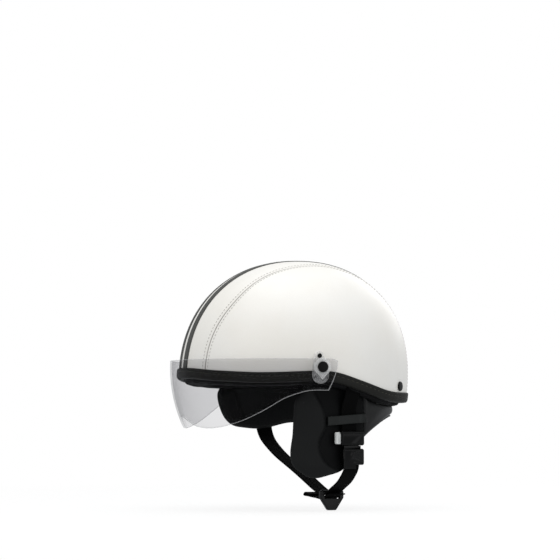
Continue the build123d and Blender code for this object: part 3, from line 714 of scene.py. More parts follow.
def coverPiece(name, grid, node):
    # Leather that dips at its seams and is a little uneven, more so beside them
    distance = nearest(grid, seamReference)
    x, y, z = np.moveaxis(grid / cover["wanderWide"], -1, 0)
    wander = ripples(x, y + z, 3)
    x, y, z = np.moveaxis(grid / cover["waveWide"], -1, 0)
    wave = ripples(x, y + z, 5)
    lift = wander * cover["wander"] * np.exp(-distance / cover["wanderReach"]) + wave * cover["wave"]
    lift = lift - cover["edgeDip"] * np.exp(-(distance / cover["edgeWidth"]) ** 2)
    outer, inner = onDome(grid, lift), onDome(grid, -cover["thickness"])
    piece = sheetPiece(name, outer, inner, [whiteLeather], seam=distance)
    settle(piece, helmetBody, "white_leather", node)


def sidePatch(side):
    along = edgeShares(*cover["along"], fineSteps)
    down = edgeShares(*cover["down"], fineSteps, (False, True))
    gap = cover["seamGap"] / 2
    topLine = seamLine(side, gap, 600, cover["frontCorner"], cover["rearCorner"])
    frontLine = seamLine(side, gap, 300, last=cover["frontCorner"])
    rearLine = seamLine(side, gap, 300, first=cover["rearCorner"])[::-1]
    wall = rimPoint(np.linspace(-math.pi / 2, math.pi / 2, 2000), cover["tuck"])
    wall[:, 0] *= side
    keep = (side * wall[:, 0] > side * frontLine[0, 0]) | (wall[:, 1] > 0)
    keep &= (side * wall[:, 0] > side * rearLine[0, 0]) | (wall[:, 1] < 0)
    wall = np.concatenate([frontLine[:1], wall[keep], rearLine[:1]])
    return patch((wall, topLine, frontLine, rearLine), along, down)


def bandPatch():
    across = edgeShares(*cover["across"], fineSteps) * 2 - 1
    first, last = crossings(lambda y: 0 * y, cover["tuck"])
    turnGrid, acrossGrid = np.meshgrid(np.linspace(first, last, 300), across, indexing="ij")
    return profilePoint(turnGrid, lambda y: acrossGrid * (bandHalf(y) - cover["seamGap"] / 2))


coverPiece("coverBand", bandPatch(), "centre_band")
coverPiece("coverLeft", sidePatch(1), "left_panel")
coverPiece("coverRight", sidePatch(-1), "right_panel")
seamRows = []
for side in (-1, 1):
    for offset in (-cover["stitchInset"], cover["stitchInset"]):
        row = seamLine(side, offset, 700, tuck=cover["stitchEnd"])
        seamRows.append((onDome(row, -cover["stitchSink"]), domeNormal(row), False))
stitches("coverStitches", seamRows, cover, whiteThread, "white_leather")
print("cover ready")

# Stripes: two dark leather strips on the band
stripe = {
    "inner": 4.2 * mm,
    "width": 11.6 * mm,
    "proud": 0.7 * mm,
    "rest": 0.1 * mm,          # height of its edges over the band
    "bed": 0.25 * mm,          # depth of its underside in the band
    "edge": 0.9 * mm,
    "endGap": 0.2 * mm,        # from the rim line up to its ends
    "shares": (0, 0.012, 0.035, 0.07, 0.2, 0.4, 0.6, 0.8, 0.93, 0.965, 0.988, 1),
    "stitchInset": 1.3 * mm,
    "stitchSink": 0.08 * mm,
    "stitchEndGap": 1.0 * mm,
    "stitchPitch": 3.0 * mm,
    "stitchLength": 2.2 * mm,
    "threadWidth": 0.34 * mm,
}


def stripePiece(name, side, node):
    ends = crossings(lambda y: 0 * y + stripe["inner"], -stripe["endGap"])
    turnGrid, shareGrid = np.meshgrid(np.linspace(*ends, 320), stripe["shares"], indexing="ij")
    grid = profilePoint(turnGrid, lambda y: side * (stripe["inner"] + shareGrid * stripe["width"]))
    fromEdge = np.minimum(shareGrid, 1 - shareGrid) * stripe["width"]
    lift = stripe["rest"] + rounded(fromEdge, stripe["edge"]) * (stripe["proud"] - stripe["rest"])
    piece = sheetPiece(name, onDome(grid, lift), onDome(grid, -stripe["bed"]), [stripeLeather])
    settle(piece, helmetBody, "stripe_leather", node)


stripePiece("stripeLeft", 1, "stripe_left")
stripePiece("stripeRight", -1, "stripe_right")
stripeRows = []
for side in (-1, 1):
    for inset in (stripe["stitchInset"], stripe["width"] - stripe["stitchInset"]):
        x = side * (stripe["inner"] + inset)
        ends = crossings(lambda y: 0 * y + x, -stripe["stitchEndGap"])
        row = profilePoint(np.linspace(*ends, 700), lambda y: 0 * y + x)
        stripeRows.append((onDome(row, stripe["proud"] - stripe["stitchSink"]), domeNormal(row), False))
stitches("stripeStitches", stripeRows, stripe, darkThread, "stripe_leather")
print("stripes ready")

# Edge trim: a leather channel over the rim, as (out from the cover, drop below the rim line)
trim = {
    "profile": ((0.1, 0.05), (0.9, -0.1), (1.6, 0.25), (1.95, 0.95), (2.1, 2.2), (2.1, 3.6), (1.85, 4.25),
                (2.1, 4.9), (2.2, 6.6), (2.15, 8.4), (1.9, 9.7), (1.3, 10.7), (0.3, 11.35), (-1.6, 11.6),
                (-4.2, 11.6), (-5.9, 11.3), (-6.8, 10.6), (-7.15, 9.4), (-7.2, 7.0), (-7.2, 4.4), (-6.4, 4.1),
                (-5.2, 4.1), (-4.5, 6.0), (-2.5, 8.2), (-0.8, 7.0), (-0.1, 3.5)),
    "wander": 0.07 * mm,
    "stitchDrop": 4.25 * mm,
    "stitchOut": 1.93 * mm,
    "stitchPitch": 6.6 * mm,
    "stitchLength": 4.3 * mm,
    "threadWidth": 0.55 * mm,
}
roundTurns = np.linspace(0, 2 * math.pi, 641)[:-1]
trimWander = ripples(roundTurns * 30, roundTurns * 11, 11) * trim["wander"]
trimLines = [rimPoint(roundTurns, drop * mm, out * mm + trimWander * (out > 1))
             for out, drop in trim["profile"]]
settle(ringPiece("edgeTrim", np.array(trimLines), trimLeather), helmetBody, "trim_leather", "edge_trim")
trimRow = rimPoint(roundTurns, trim["stitchDrop"], trim["stitchOut"])
stitches("trimStitches", [(trimRow, domeNormal(trimRow), True)], trim, greyThread, "trim_leather")
print("trim ready")

# Visor: a clear sheet on an ellipsoid, from one pivot round the front to the other
visor = {
    "halfWidth": 120.65 * mm,
    "halfLength": 144.8 * mm,
    "halfHeight": 152.0 * mm,
    "thickness": 2.0 * mm,
    "top": 8.0 * mm,
    "tabTop": (11.4 * mm, 5.3 * mm),
    "tabBulge": 1.9 * mm,
    "edge": ((0.7, -27.6), (-13.5, -27.5), (-23.0, -28.2), (-33.7, -31.0), (-42.7, -34.1), (-52.7, -39.2),
             (-65.2, -47.7), (-76.5, -54.6), (-86.0, -60.0), (-99.8, -65.9), (-107.3, -68.3),
             (-114.4, -69.5)),
    "depth": 69.5 * mm,
    "noseHalf": 43 * mm,
    "noseHeight": 12.8 * mm,
    "nose": ((-1.0, 0.0), (-0.62, 0.2), (-0.33, 0.6), (0.0, 1.0), (0.33, 0.6), (0.62, 0.2), (1.0, 0.0)),
    "along": (110, 190 * mm),
    "down": (36, 55 * mm),
    "fine": (0.35 * mm, 0.8 * mm, 1.4 * mm),
}


def visorSpread(z):
    return np.sqrt(1 - (z / visor["halfHeight"]) ** 2)


def visorTurn(y, z):
    # Turn from the front of the ellipsoid, on the wearer's left, for a point given in side view
    return np.arccos(np.clip(-y / (visor["halfLength"] * visorSpread(z)), -1, 1))


def visorPoint(turn, z, inset=0.0):
    radii = np.array([visor["halfWidth"], visor["halfLength"], visor["halfHeight"]])
    spread = visorSpread(z)
    flat = np.stack([radii[0] * spread * np.sin(turn), -radii[1] * spread * np.cos(turn), z], -1)
    return flat - unit(flat / radii**2) * inset


def visorGrid():
    side = splineThrough([(y * mm, z * mm) for y, z in visor["edge"]], 400)
    nose = splineThrough([(visor["noseHalf"] * x, -visor["depth"] + visor["noseHeight"] * z)
                          for x, z in visor["nose"]], 400)
    nose = nose[nose[:, 0] >= 0][::-1]
    noseTurn = np.arcsin(nose[:, 0] / (visor["halfWidth"] * visorSpread(nose[:, 1])))
    lower = np.concatenate([np.stack([visorTurn(side[:, 0], side[:, 1]), side[:, 1]], -1),
                            np.stack([noseTurn, nose[:, 1]], -1)])
    along = edgeShares(*visor["along"], visor["fine"], (True, False))
    turnReach = np.array([0.1, 1.0])       # a radian counts as a tenth of a metre
    lower = resample(lower * turnReach, along) / turnReach
    tabTurn = visorTurn(*visor["tabTop"])
    upperTurn = lower[:, 0] * tabTurn / lower[0, 0]
    bendTurn = math.radians(90)            # the upper edge bends down behind this turn
    past = np.clip((upperTurn - bendTurn) / (tabTurn - bendTurn), 0, 1)
    upperLevel = visor["top"] - past**2 * (visor["top"] - visor["tabTop"][1])
    down = edgeShares(*visor["down"], visor["fine"])[:, None]
    turn = upperTurn * (1 - down) + lower[:, 0] * down
    level = upperLevel * (1 - down) + lower[:, 1] * down
    turn = turn + visor["tabBulge"] / visor["halfLength"] * np.sin(math.pi * down) * np.exp(-along * 30)
    turn = np.concatenate([turn, -turn[:, :-1][:, ::-1]], 1)
    level = np.concatenate([level, level[:, :-1][:, ::-1]], 1)
    return turn, level


visorTurns, visorLevels = visorGrid()
visorOuter = visorPoint(visorTurns, visorLevels)
visorInner = visorPoint(visorTurns, visorLevels, visor["thickness"])
visorOutline = np.concatenate([visorOuter[0], visorOuter[:, -1], visorOuter[-1, ::-1], visorOuter[::-1, 0]])
visorRim = nearest(visorOuter, resample(visorOutline, np.linspace(0, 1, 2400)))
visorPiece = sheetPiece("visorSheet", visorOuter, visorInner, [visorClear, visorEdgeHighlight], 1, visorRim)
settle(visorPiece, visorBody, "clear_visor", "visor")
print("visor ready")

# Moulded and metal pieces keep their CAD shape, merged and rounded at their edges
moulding = {
    "sharp": math.radians(30),
    "flat": math.radians(1),
    "baseEdge": 0.3 * mm,
    "ringEdge": 0.5 * mm,
    "screwEdge": 0.15 * mm,
}


def reworked(name, node, material, slot, bevel=0.0, segments=2):
    piece = nodes[node].copy()
    piece.data = nodes[node].data.copy()
    piece.name = name
    piece.data.name = name
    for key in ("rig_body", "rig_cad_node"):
        del piece[key]
    piece.parent = None
    bpy.context.scene.collection.objects.link(piece)
    work = bmesh.new()
    work.from_mesh(piece.data)
    bmesh.ops.remove_doubles(work, verts=work.verts, dist=weldGap)
    bmesh.ops.dissolve_limit(work, angle_limit=moulding["flat"], verts=work.verts, edges=work.edges)
    work.to_mesh(piece.data)
    work.free()
    piece.data.materials.clear()
    piece.data.materials.append(material)
    count = len(piece.data.polygons)
    piece.data.polygons.foreach_set("material_index", [0] * count)
    piece.data.polygons.foreach_set("use_smooth", [True] * count)
    piece.data.set_sharp_from_angle(angle=moulding["sharp"])
    if bevel:
        edges = piece.modifiers.new("edges", "BEVEL")
        edges.width = bevel
        edges.segments = segments
        edges.limit_method = "ANGLE"
        edges.angle_limit = moulding["sharp"]
        edges.harden_normals = True
        piece = asPlainMesh(piece)
    settle(piece, nodes[node]["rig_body"], slot, node)


for side, title in (("left", "Left"), ("right", "Right")):
    reworked("pivotBase" + title, "pivot_base_" + side, pivotClear, "clear_plastic", moulding["baseEdge"])
    reworked("pivotRing" + title, "pivot_ring_" + side, pivotClear, "clear_plastic", moulding["ringEdge"], 3)
    reworked("snapButton" + title, "snap_button_" + side, blackGloss, "button_black")
reworked("baseScrews", "base_screws", blackEnamel, "screw_black", moulding["screwEdge"])
reworked("rearRivets", "rear_rivets", blackEnamel, "rivet_black")
reworked("buckleHousing", "buckle_housing", bucklePlastic, "buckle_black")
reworked("releaseButton", "release_button", buttonPlastic, "button_grey")
reworked("buckleTongue", "buckle_tongue", bucklePlastic, "buckle_black")
reworked("chinSlider", "chin_slider", sliderPlastic, "slider_black")
for node, material in (("shell", shellPlastic), ("foam_liner", linerFoam), ("strap_anchors", plainSteel),
                       ("hanger_rivets", plainSteel), ("rivet_washers", plainSteel)):
    for place in nodes[node].material_slots:
        place.material = material
print("moulded pieces ready")

# The skirt: an upright elliptic wall on which the flaps and the nape curtain hang
skirt = {
    "halfWidth": 93 * mm,
    "halfLength": 117 * mm,
    "thickness": 9 * mm,
    "top": 12.5 * mm,
    "fine": (0.15 * mm, 0.5 * mm, 1.0 * mm, 1.7 * mm, 2.6 * mm, 3.6 * mm),
}


def wallSpot(turn, level, depth=0.0):
    # A point of the wall and the way it faces; turn 0 at the wearer's left, a quarter turn at the rear
    a, b = skirt["halfWidth"], skirt["halfLength"]
    normal = unit(np.stack([np.cos(turn) / a, np.sin(turn) / b, 0 * turn], -1))
    point = np.stack([a * np.cos(turn), b * np.sin(turn), level + 0 * turn], -1)
    return point - normal * np.asarray(depth)[..., None], normal


def wallLine(points, count, side=1):
    # A smooth line through (Y, Z) points in millimetres, as turns and levels
    line = splineThrough([(y * mm, z * mm) for y, z in points], count)
    turn = np.arcsin(np.clip(line[:, 0] / skirt["halfLength"], -1, 1))
    return np.stack([turn if side > 0 else math.pi - turn, line[:, 1]], -1)


def tuckedTop(first, last, count):
    # The upper edge of a skirt piece, hidden in the edge roll
    turn = np.linspace(first, last, count)
    return np.stack([turn, rimLevel(skirt["halfLength"] * np.sin(turn)) - skirt["top"]], -1)


def upright(low, high, count=60):
    return np.stack([np.full(count, low[0]), np.linspace(low[1], high[1], count)], -1)


def flapLines(settings, side):
    # Bottom, top, front and rear of an ear flap; its edge turns from front to bottom at the corner share
    edge = wallLine(settings["edge"], 900, side)
    cut = int(len(edge) * settings["corner"])
    front, bottom = edge[:cut + 1][::-1], edge[cut:]
    top = tuckedTop(edge[0, 0], edge[-1, 0], 200)
    front[-1] = top[0]
    return bottom, top, front, upright(bottom[-1], top[-1])


def pad(name, lines, settings, shape, material, node):
    # A stuffed piece inside four lines of the wall; shape() moves its middle, swells it and gives its share
    # of painted light
    bottom, top, left, right = lines
    across = edgeShares(*settings["across"], skirt["fine"])
    down = edgeShares(*settings["down"], skirt["fine"])
    grid = patch(lines, across, down)
    outline = np.concatenate([bottom, right, top[::-1], left[::-1]])
    middle, normal = wallSpot(grid[..., 0], grid[..., 1], skirt["thickness"] / 2)
    edge, _ = wallSpot(outline[:, 0], outline[:, 1], skirt["thickness"] / 2)
    distance = nearest(middle, edge)
    half = skirt["thickness"] / 2 * rounded(distance, settings["round"])
    inside = soften(distance, 0, settings["swellReach"])
    shift, outSwell, inSwell, shade = shape(grid[..., 0], grid[..., 1], inside)
    middle = middle + normal * shift[..., None]
    outer = middle + normal * (half * outSwell)[..., None]
    inner = middle - normal * (half * inSwell)[..., None]
    piece = sheetPiece(name, outer, inner, [material], seam=shade)
    settle(piece, helmetBody, "flap_leather", node)


def soften(value, low, high):
    share = np.clip((value - low) / (high - low), 0, 1)
    return share * share * (3 - 2 * share)


def crestShare(turn, level, settings):
    # 0 behind the crest, 1 in front of it
    line = splineThrough([(y * mm, z * mm) for y, z in settings["crest"]], 300)
    order = np.argsort(-line[:, 1])
    place = np.interp(-level, -line[order, 1], line[order, 0])
    width = settings["crestWidth"]
    return 1 - soften(skirt["halfLength"] * np.sin(turn) - place, -width * 0.25, width)


# Left ear flap: a stuffed front cheek that ends in a soft crest, and a flatter part behind it with painted
# shade
leftFlap = {
    "edge": ((-17.0, -17.0), (-20.0, -28.0), (-27.9, -37.7), (-29.8, -48.6), (-30.7, -62.6), (-31.7, -78.5),
             (-33.7, -92.4), (-33.7, -102.4), (-30.8, -111.3), (-22.9, -118.2), (-14.8, -123.3),
             (-3.4, -125.3), (10.5, -122.4), (28.5, -116.7), (43.0, -101.0), (57.7, -81.0)),
    "corner": 0.49,                       # share of the edge at which the front turns into the bottom
    "crest": ((-13.0, -14.0), (-12.2, -24.4), (-5.3, -37.8), (3.0, -60.2), (1.8, -71.4), (-2.4, -79.2),
              (-4.2, -93.7), (0.6, -104.9), (9.0, -112.7), (22.6, -118.4), (40.0, -118.0)),
    "crestWidth": 7 * mm,
    "cheek": 1.7 * mm,
    "hollow": 1.9 * mm,
    "wave": 0.35 * mm,
    "waveWide": 13 * mm,
    "swellReach": 14 * mm,
    "round": 6 * mm,
    "across": (96, 130 * mm),             # steps, and the length that the fine ones count on
    "down": (110, 100 * mm),
    "fill": 0.45,
}


def leftShape(turn, level, inside):
    front = crestShare(turn, level, leftFlap)
    waves = ripples(turn * 9, level / leftFlap["waveWide"], 21)
    swell = leftFlap["cheek"] * front - leftFlap["hollow"] * (1 - front)
    shift = inside * (swell + waves * leftFlap["wave"])
    # The last value is painted light: the part behind the crest gets painted shade
    return shift, 1 + 0.12 * inside * front, 1 + 0.1 * inside, front


pad("earFlapLeft", flapLines(leftFlap, 1), leftFlap, leftShape, flapLeather, "ear_flap_left")

# Right ear flap, curled forwards under the roll
rightFlap = {
    "edge": ((-63.0, -15.0), (-66.0, -19.0), (-71.5, -27.0), (-71.9, -33.5), (-68.4, -45.5), (-62.3, -56.4),
             (-50.4, -65.8), (-36.0, -68.6), (-17.6, -70.0), (3.0, -67.6), (20.8, -63.4), (57.7, -64.0)),
    "corner": 0.27,
    "crest": ((-60.0, -12.0), (-52.0, -30.0), (-46.0, -45.0), (-40.0, -60.0), (-30.0, -72.0)),
    "crestWidth": 9 * mm,
    "cheek": 1.4 * mm,
    "hollow": 1.0 * mm,
    "wave": 0.4 * mm,
    "waveWide": 11 * mm,
    "swellReach": 10 * mm,
    "round": 5 * mm,
    "across": (100, 130 * mm),
    "down": (60, 45 * mm),
    "fill": 0.45,
}


def rightShape(turn, level, inside):
    front = crestShare(math.pi - turn, level, rightFlap)
    waves = ripples(turn * 8, level / rightFlap["waveWide"], 33)
    swell = rightFlap["cheek"] * (1 - front) - rightFlap["hollow"] * front
    shift = inside * (swell + waves * rightFlap["wave"])
    # The last value is painted light: the curled part in front of the crest gets half painted shade
    return shift, 1 + 0.1 * inside, 1 + 0.25 * inside * (1 - front), 1 - 0.5 * front


pad("earFlapRight", flapLines(rightFlap, -1), rightFlap, rightShape, flapLeather, "ear_flap_right")

# Nape curtain behind both flaps
nape = {
    "edge": ((57.2, -81.0), (65.8, -74.7), (83.3, -64.5), (99.5, -56.7), (111.2, -53.9), (116.98, -53.0)),
    "farEdge": ((57.2, -64.3), (65.8, -63.6), (83.3, -60.3), (99.5, -56.0), (111.2, -53.7), (116.98, -53.0)),
    "fold": 0.5 * mm,
    "foldLevels": (44 * mm, 56 * mm),     # depths between which the folds set in
    "wave": 0.4 * mm,
    "waveWide": 10 * mm,
    "litPlaces": (62 * mm, 92 * mm),      # rearwards, where the painted shade gives way to painted light
    "litLevels": (38 * mm, 60 * mm),
    "swellReach": 9 * mm,
    "round": 4.5 * mm,
    "across": (190, 250 * mm),
    "down": (34, 25 * mm),
    "fill": 0.5,
}


def napeShape(turn, level, inside):
    rear = np.sin(turn) * skirt["halfLength"]
    folds = np.sin((rear / mm - level / mm * 1.4) * 0.22) * soften(-level, *nape["foldLevels"])
    waves = ripples(turn * 10, level / nape["waveWide"], 44)
    shift = inside * (nape["fold"] * folds + nape["wave"] * waves)
    # Painted light: painted shade near the flaps and under the roll, lighter towards the lower rear edge
    lit = soften(rear, *nape["litPlaces"]) * soften(-level, *nape["litLevels"])
    return shift, 1 + 0.2 * inside, 1 + 0.1 * inside, lit


napeBottom = np.concatenate([wallLine(nape["edge"], 300), wallLine(nape["farEdge"], 300, -1)[::-1][1:]])
napeTop = tuckedTop(napeBottom[0, 0], napeBottom[-1, 0], 400)
napeSides = [upright(napeBottom[k], napeTop[k]) for k in (0, -1)]
pad("napeCurtain", (napeBottom, napeTop, *napeSides), nape, napeShape, napeLeather, "nape_curtain")
print("skirt ready")

# Comfort liner: the edge roll, then the inner band, as (inset, drop) and as (inset, fixed level)
comfort = {
    "roll": ((8.2, 3.9), (7.7, 6.5), (7.5, 9.8), (7.4, 11.4), (7.9, 13.0), (9.4, 14.4), (12.5, 15.2),
             (17.0, 15.4), (22.5, 15.2), (24.0, 14.7), (25.5, 15.2), (29.0, 14.8), (31.6, 13.4),
             (33.1, 11.0), (33.3, 7.5)),
    "band": ((33.2, 8.0), (33.1, 20.0), (33.0, 32.0), (32.8, 41.0), (32.2, 44.6), (31.1, 45.8), (30.0, 45.2),
             (29.5, 42.0), (29.4, 30.0), (29.4, 16.0), (29.4, 5.0)),
    "inner": ((29.4, 3.6), (20.0, 3.85), (12.0, 3.9)),
    "fold": 0.55 * mm,
    "foldDrop": 9,                        # millimetres below the rim line where the folds begin
    "foldInset": 12,                      # millimetres inwards where they stop bulging outwards
    "wave": 0.25 * mm,
    "waveInset": 32,                      # millimetres inwards where the band's face begins
    "fill": 0.6,
}
comfortLines = []
for inset, drop in comfort["roll"]:
    folds = ripples(roundTurns * 26, roundTurns * 9 + inset * 0.08, 51) * comfort["fold"]
    folds = folds * (drop > comfort["foldDrop"])
    line = rimPoint(roundTurns, drop * mm, -inset * mm + folds * (inset < comfort["foldInset"]))
    line[:, 2] -= folds * 0.6
    comfortLines.append(line)
for inset, level in comfort["band"]:
    swell = ripples(roundTurns * 12, roundTurns * 5 + level / 12, 52) * comfort["wave"]
    swell = swell * (inset > comfort["waveInset"])
    comfortLines.append(rimPoint(roundTurns, 0, -inset * mm - swell, level * mm))
for inset, drop in comfort["inner"]:
    comfortLines.append(rimPoint(roundTurns, drop * mm, -inset * mm))
comfortPiece = ringPiece("comfortLiner", np.array(comfortLines), linerCloth)
settle(comfortPiece, helmetBody, "liner_cloth", "comfort_liner")

# Crown pad: a round stuffed pad with four sewn channels
crown = {
    "radius": 44 * mm,
    "rings": (0.0, 0.06, 0.14, 0.24, 0.35, 0.46, 0.57, 0.67, 0.76, 0.83, 0.88, 0.92, 0.95, 0.975, 0.99, 1.0),
    "spokes": 96,
    "inset": 29.5 * mm,
    "thickness": 5.6 * mm,
    "round": 6 * mm,
    "channel": 1.3 * mm,
    "channelWidth": 2.2 * mm,
    "fill": 0.6,
}


def innerLevel(x, y, inset):
    a, b, h = (dome[key] - inset for key in ("halfWidth", "halfLength", "height"))
    n = dome["power"]
    rise = np.ones_like(x)
    for _ in range(6):
        flat = (x / a) ** 2 + ((y - dome["lean"] * rise) / b) ** 2
        rise = (1 - np.clip(flat, 0, 1) ** (n / 2)) ** (1 / n)
    return dome["widestLevel"] + h * rise


crownSpokes = np.linspace(0, 2 * math.pi, crown["spokes"] + 1)[:-1]
padRadius, padSpoke = np.meshgrid(np.array(crown["rings"]) * crown["radius"], crownSpokes, indexing="ij")
padX, padY = padRadius * np.cos(padSpoke), padRadius * np.sin(padSpoke)
stuffing = rounded(crown["radius"] - padRadius, crown["round"])
nearSpoke = padRadius * np.abs(np.sin(padSpoke * 2)) / 2
channel = crown["channel"] * np.exp(-(nearSpoke / crown["channelWidth"]) ** 2) * stuffing
topLevel = innerLevel(padX, padY, crown["inset"])
padUpper = np.stack([padX, padY, topLevel - (1 - stuffing) * crown["thickness"] / 2], -1)
padLower = np.stack([padX, padY, topLevel - crown["thickness"] * (0.5 + 0.5 * stuffing) + channel], -1)
crownPiece = ringPiece("crownPad", np.concatenate([padUpper, padLower[::-1][1:]]), linerCloth)
settle(crownPiece, helmetBody, "liner_cloth", "crown_pad")
print("liner ready")

# Keeper band: leather over the hanger webbing, sewn down at both ends
keeper = {
    "front": 8.4 * mm,
    "rear": 57.5 * mm,
    "level": -59.6 * mm,
    "height": 10.2 * mm,
    "slope": math.tan(math.radians(4.6)),
    "thickness": 1.9 * mm,
    "edge": 1.1 * mm,
    "edgeShare": 0.55,                    # of the thickness, at the very edge
    "ends": 6 * mm,
    "rest": 0.4 * mm,
    "rise": 2.6 * mm,
    "curl": 1.9 * mm,
    "curlReach": (7 * mm, 3.5 * mm),
    "across": (70, 50 * mm),
    "down": (16, 10 * mm),
    "stitchInset": 1.6 * mm,
    "stitchSink": 0.05 * mm,
    "longRow": (0.03, 0.97),              # shares of the band's length
    "endRows": (0.035, 0.075, 0.925, 0.965),
    "stitchPitch": 2.4 * mm,
    "stitchLength": 1.7 * mm,
    "threadWidth": 0.4 * mm,
}
keeperAlong = edgeShares(*keeper["across"], fineSteps)
keeperDown = edgeShares(*keeper["down"], fineSteps[:3])
downGrid, alongGrid = np.meshgrid(keeperDown, keeperAlong, indexing="ij")


def keeperPoint(along, down, out):
    length = keeper["rear"] - keeper["front"]
    y = keeper["front"] + along * length
    level = keeper["level"] + (along - 0.5) * length * keeper["slope"] + (down - 0.5) * keeper["height"]
    bridge = soften(along * length, keeper["ends"] * 0.6, keeper["ends"] * 2.2)
    bridge = bridge * soften((1 - along) * length, keeper["ends"] * 0.6, keeper["ends"] * 2.2)
    reach, depth = keeper["curlReach"]
    corner = ((1 - along) * length / reach) ** 2 + (down * keeper["height"] / depth) ** 2
    lift = keeper["rest"] + keeper["rise"] * bridge + keeper["curl"] * np.exp(-corner) + out
    return wallSpot(np.arcsin(y / skirt["halfLength"]), level, -lift)


fromSide = np.minimum(downGrid, 1 - downGrid) * keeper["height"]
fromEnd = np.minimum(alongGrid, 1 - alongGrid) * keeper["across"][1]
keeperRise = rounded(np.minimum(fromSide, fromEnd), keeper["edge"])
keeperSwell = keeper["edgeShare"] + (1 - keeper["edgeShare"]) * keeperRise
keeperOuter, _ = keeperPoint(alongGrid, downGrid, keeper["thickness"] * keeperSwell)
keeperInner, _ = keeperPoint(alongGrid, downGrid, 0)
keeperPiece = sheetPiece("keeperBand", keeperOuter, keeperInner, [keeperLeather])
settle(keeperPiece, helmetBody, "keeper_leather", "keeper_band")
inset = keeper["stitchInset"] / keeper["height"]
rowOut = keeper["thickness"] - keeper["stitchSink"]
along = np.linspace(*keeper["longRow"], 120)
across = np.linspace(inset, 1 - inset, 30)
keeperRows = [(*keeperPoint(along, down, rowOut), False) for down in (inset, 1 - inset)]
keeperRows += [(*keeperPoint(place + 0 * across, across, rowOut), False) for place in keeper["endRows"]]
stitches("keeperStitches", keeperRows, keeper, darkThread, "keeper_leather")
print("keeper ready")

# Webbing: a woven strap with rounded selvages, its upper outline as shares of width and thickness
webbing = {
    "upper": ((-0.5, 0.0), (-0.492, 0.3), (-0.465, 0.5), (-0.4, 0.47), (-0.2, 0.43), (0.0, 0.42), (0.2, 0.43),
              (0.4, 0.47), (0.465, 0.5), (0.492, 0.3), (0.5, 0.0)),
    "width": 19.8 * mm,
    "thickness": 1.7 * mm,
    "sway": 0.12 * mm,
    "swayWide": 16 * mm,
}
webbingShape = webbing["upper"] + tuple((-a, -b) for a, b in webbing["upper"][1:-1])


def strap(name, line, widthWay, seed, thickness=webbing["thickness"]):
    tangent = unit(np.gradient(line, axis=0))
    widthWay = np.broadcast_to(widthWay, line.shape)
    side = unit(widthWay - (widthWay * tangent).sum(1, keepdims=True) * tangent)
    flat = np.cross(tangent, side)
    reach = lineLength(line)
    sway = ripples(reach / webbing["swayWide"], 0 * reach, seed)[:, None] * webbing["sway"]
    rings = np.stack([line + side * (a * webbing["width"]) + flat * (b * thickness + sway * (2 * a) ** 2)
                      for a, b in webbingShape], 1)
    rows, columns = rings.shape[:2]
    ends = [np.arange(columns) + row * columns for row in (0, rows - 1)]
    faces = [*gridFaces(rows, columns, ring=True), *ends]
    widths = [(a + 0.5) * webbing["width"] for a, _ in webbingShape]
    spots = np.stack(np.meshgrid(reach, widths, indexing="ij"), -1).reshape(-1, 2)
    uv = np.concatenate([spots[face] for face in faces])
    return faceOut(addPiece(name, rings.reshape(-1, 3), faces, [webbingBlack], uv=uv))


def wallPlace(halfWidth, halfLength, y, side):
    x = side * halfWidth * math.sqrt(1 - (y / halfLength) ** 2)
    facing = math.atan2(y / halfLength**2, x / halfWidth**2)
    return np.array([x, y, 0.0]), np.array([math.cos(facing), math.sin(facing), 0.0])


def sideways(outward):
    return np.array([-outward[1], outward[0], 0.0])


# Hangers: straps from inside the shell, out under the rim and down the outside of the flaps
hanger = {
    "places": {1: 0.257, -1: -0.03},      # shares of the dome's half length rearwards, left 1 and right -1
    "inside": (105.8 * mm, 127.8 * mm),   # half width and half length of the shell's inside there
    "room": 2.35 * mm,
    "levels": (5 * mm, -12 * mm, -27 * mm, -37 * mm, -46 * mm),
    "leftOut": 1.25 * mm,
    "leftEnd": -77.6 * mm,
    "rightOut": 3.75 * mm,
    "rightEnd": -57 * mm,
}
upward = np.array([0.0, 0.0, 1.0])
hangers = {}
for side, place in hanger["places"].items():
    y = place * dome["halfLength"]
    point, outward = wallPlace(skirt["halfWidth"], skirt["halfLength"], y, side)
    inside, _ = wallPlace(*hanger["inside"], y, side)
    hangers[side] = (point, outward, (inside - point) @ outward - hanger["room"])


def hangerLine(side, lowOut, endLevel, count=90):
    point, outward, topOut = hangers[side]
    outs = (topOut, topOut, topOut, (topOut + lowOut) / 2, lowOut)
    low = hanger["levels"][-1]
    route = [*zip(outs, hanger["levels"]), (lowOut, (endLevel + low) / 2), (lowOut, endLevel)]
    line = splineThrough(route, count)
    return point + outward * line[:, :1] + upward * line[:, 1:], sideways(outward)


leftLine, leftWide = hangerLine(1, hanger["leftOut"], hanger["leftEnd"])
rightLine, rightWide = hangerLine(-1, hanger["rightOut"], hanger["rightEnd"])
settle(strap("hangerLeft", leftLine, leftWide, 61), helmetBody, "webbing_black", "hanger_left")
settle(strap("hangerRight", rightLine, rightWide, 62), helmetBody, "webbing_black", "hanger_right")

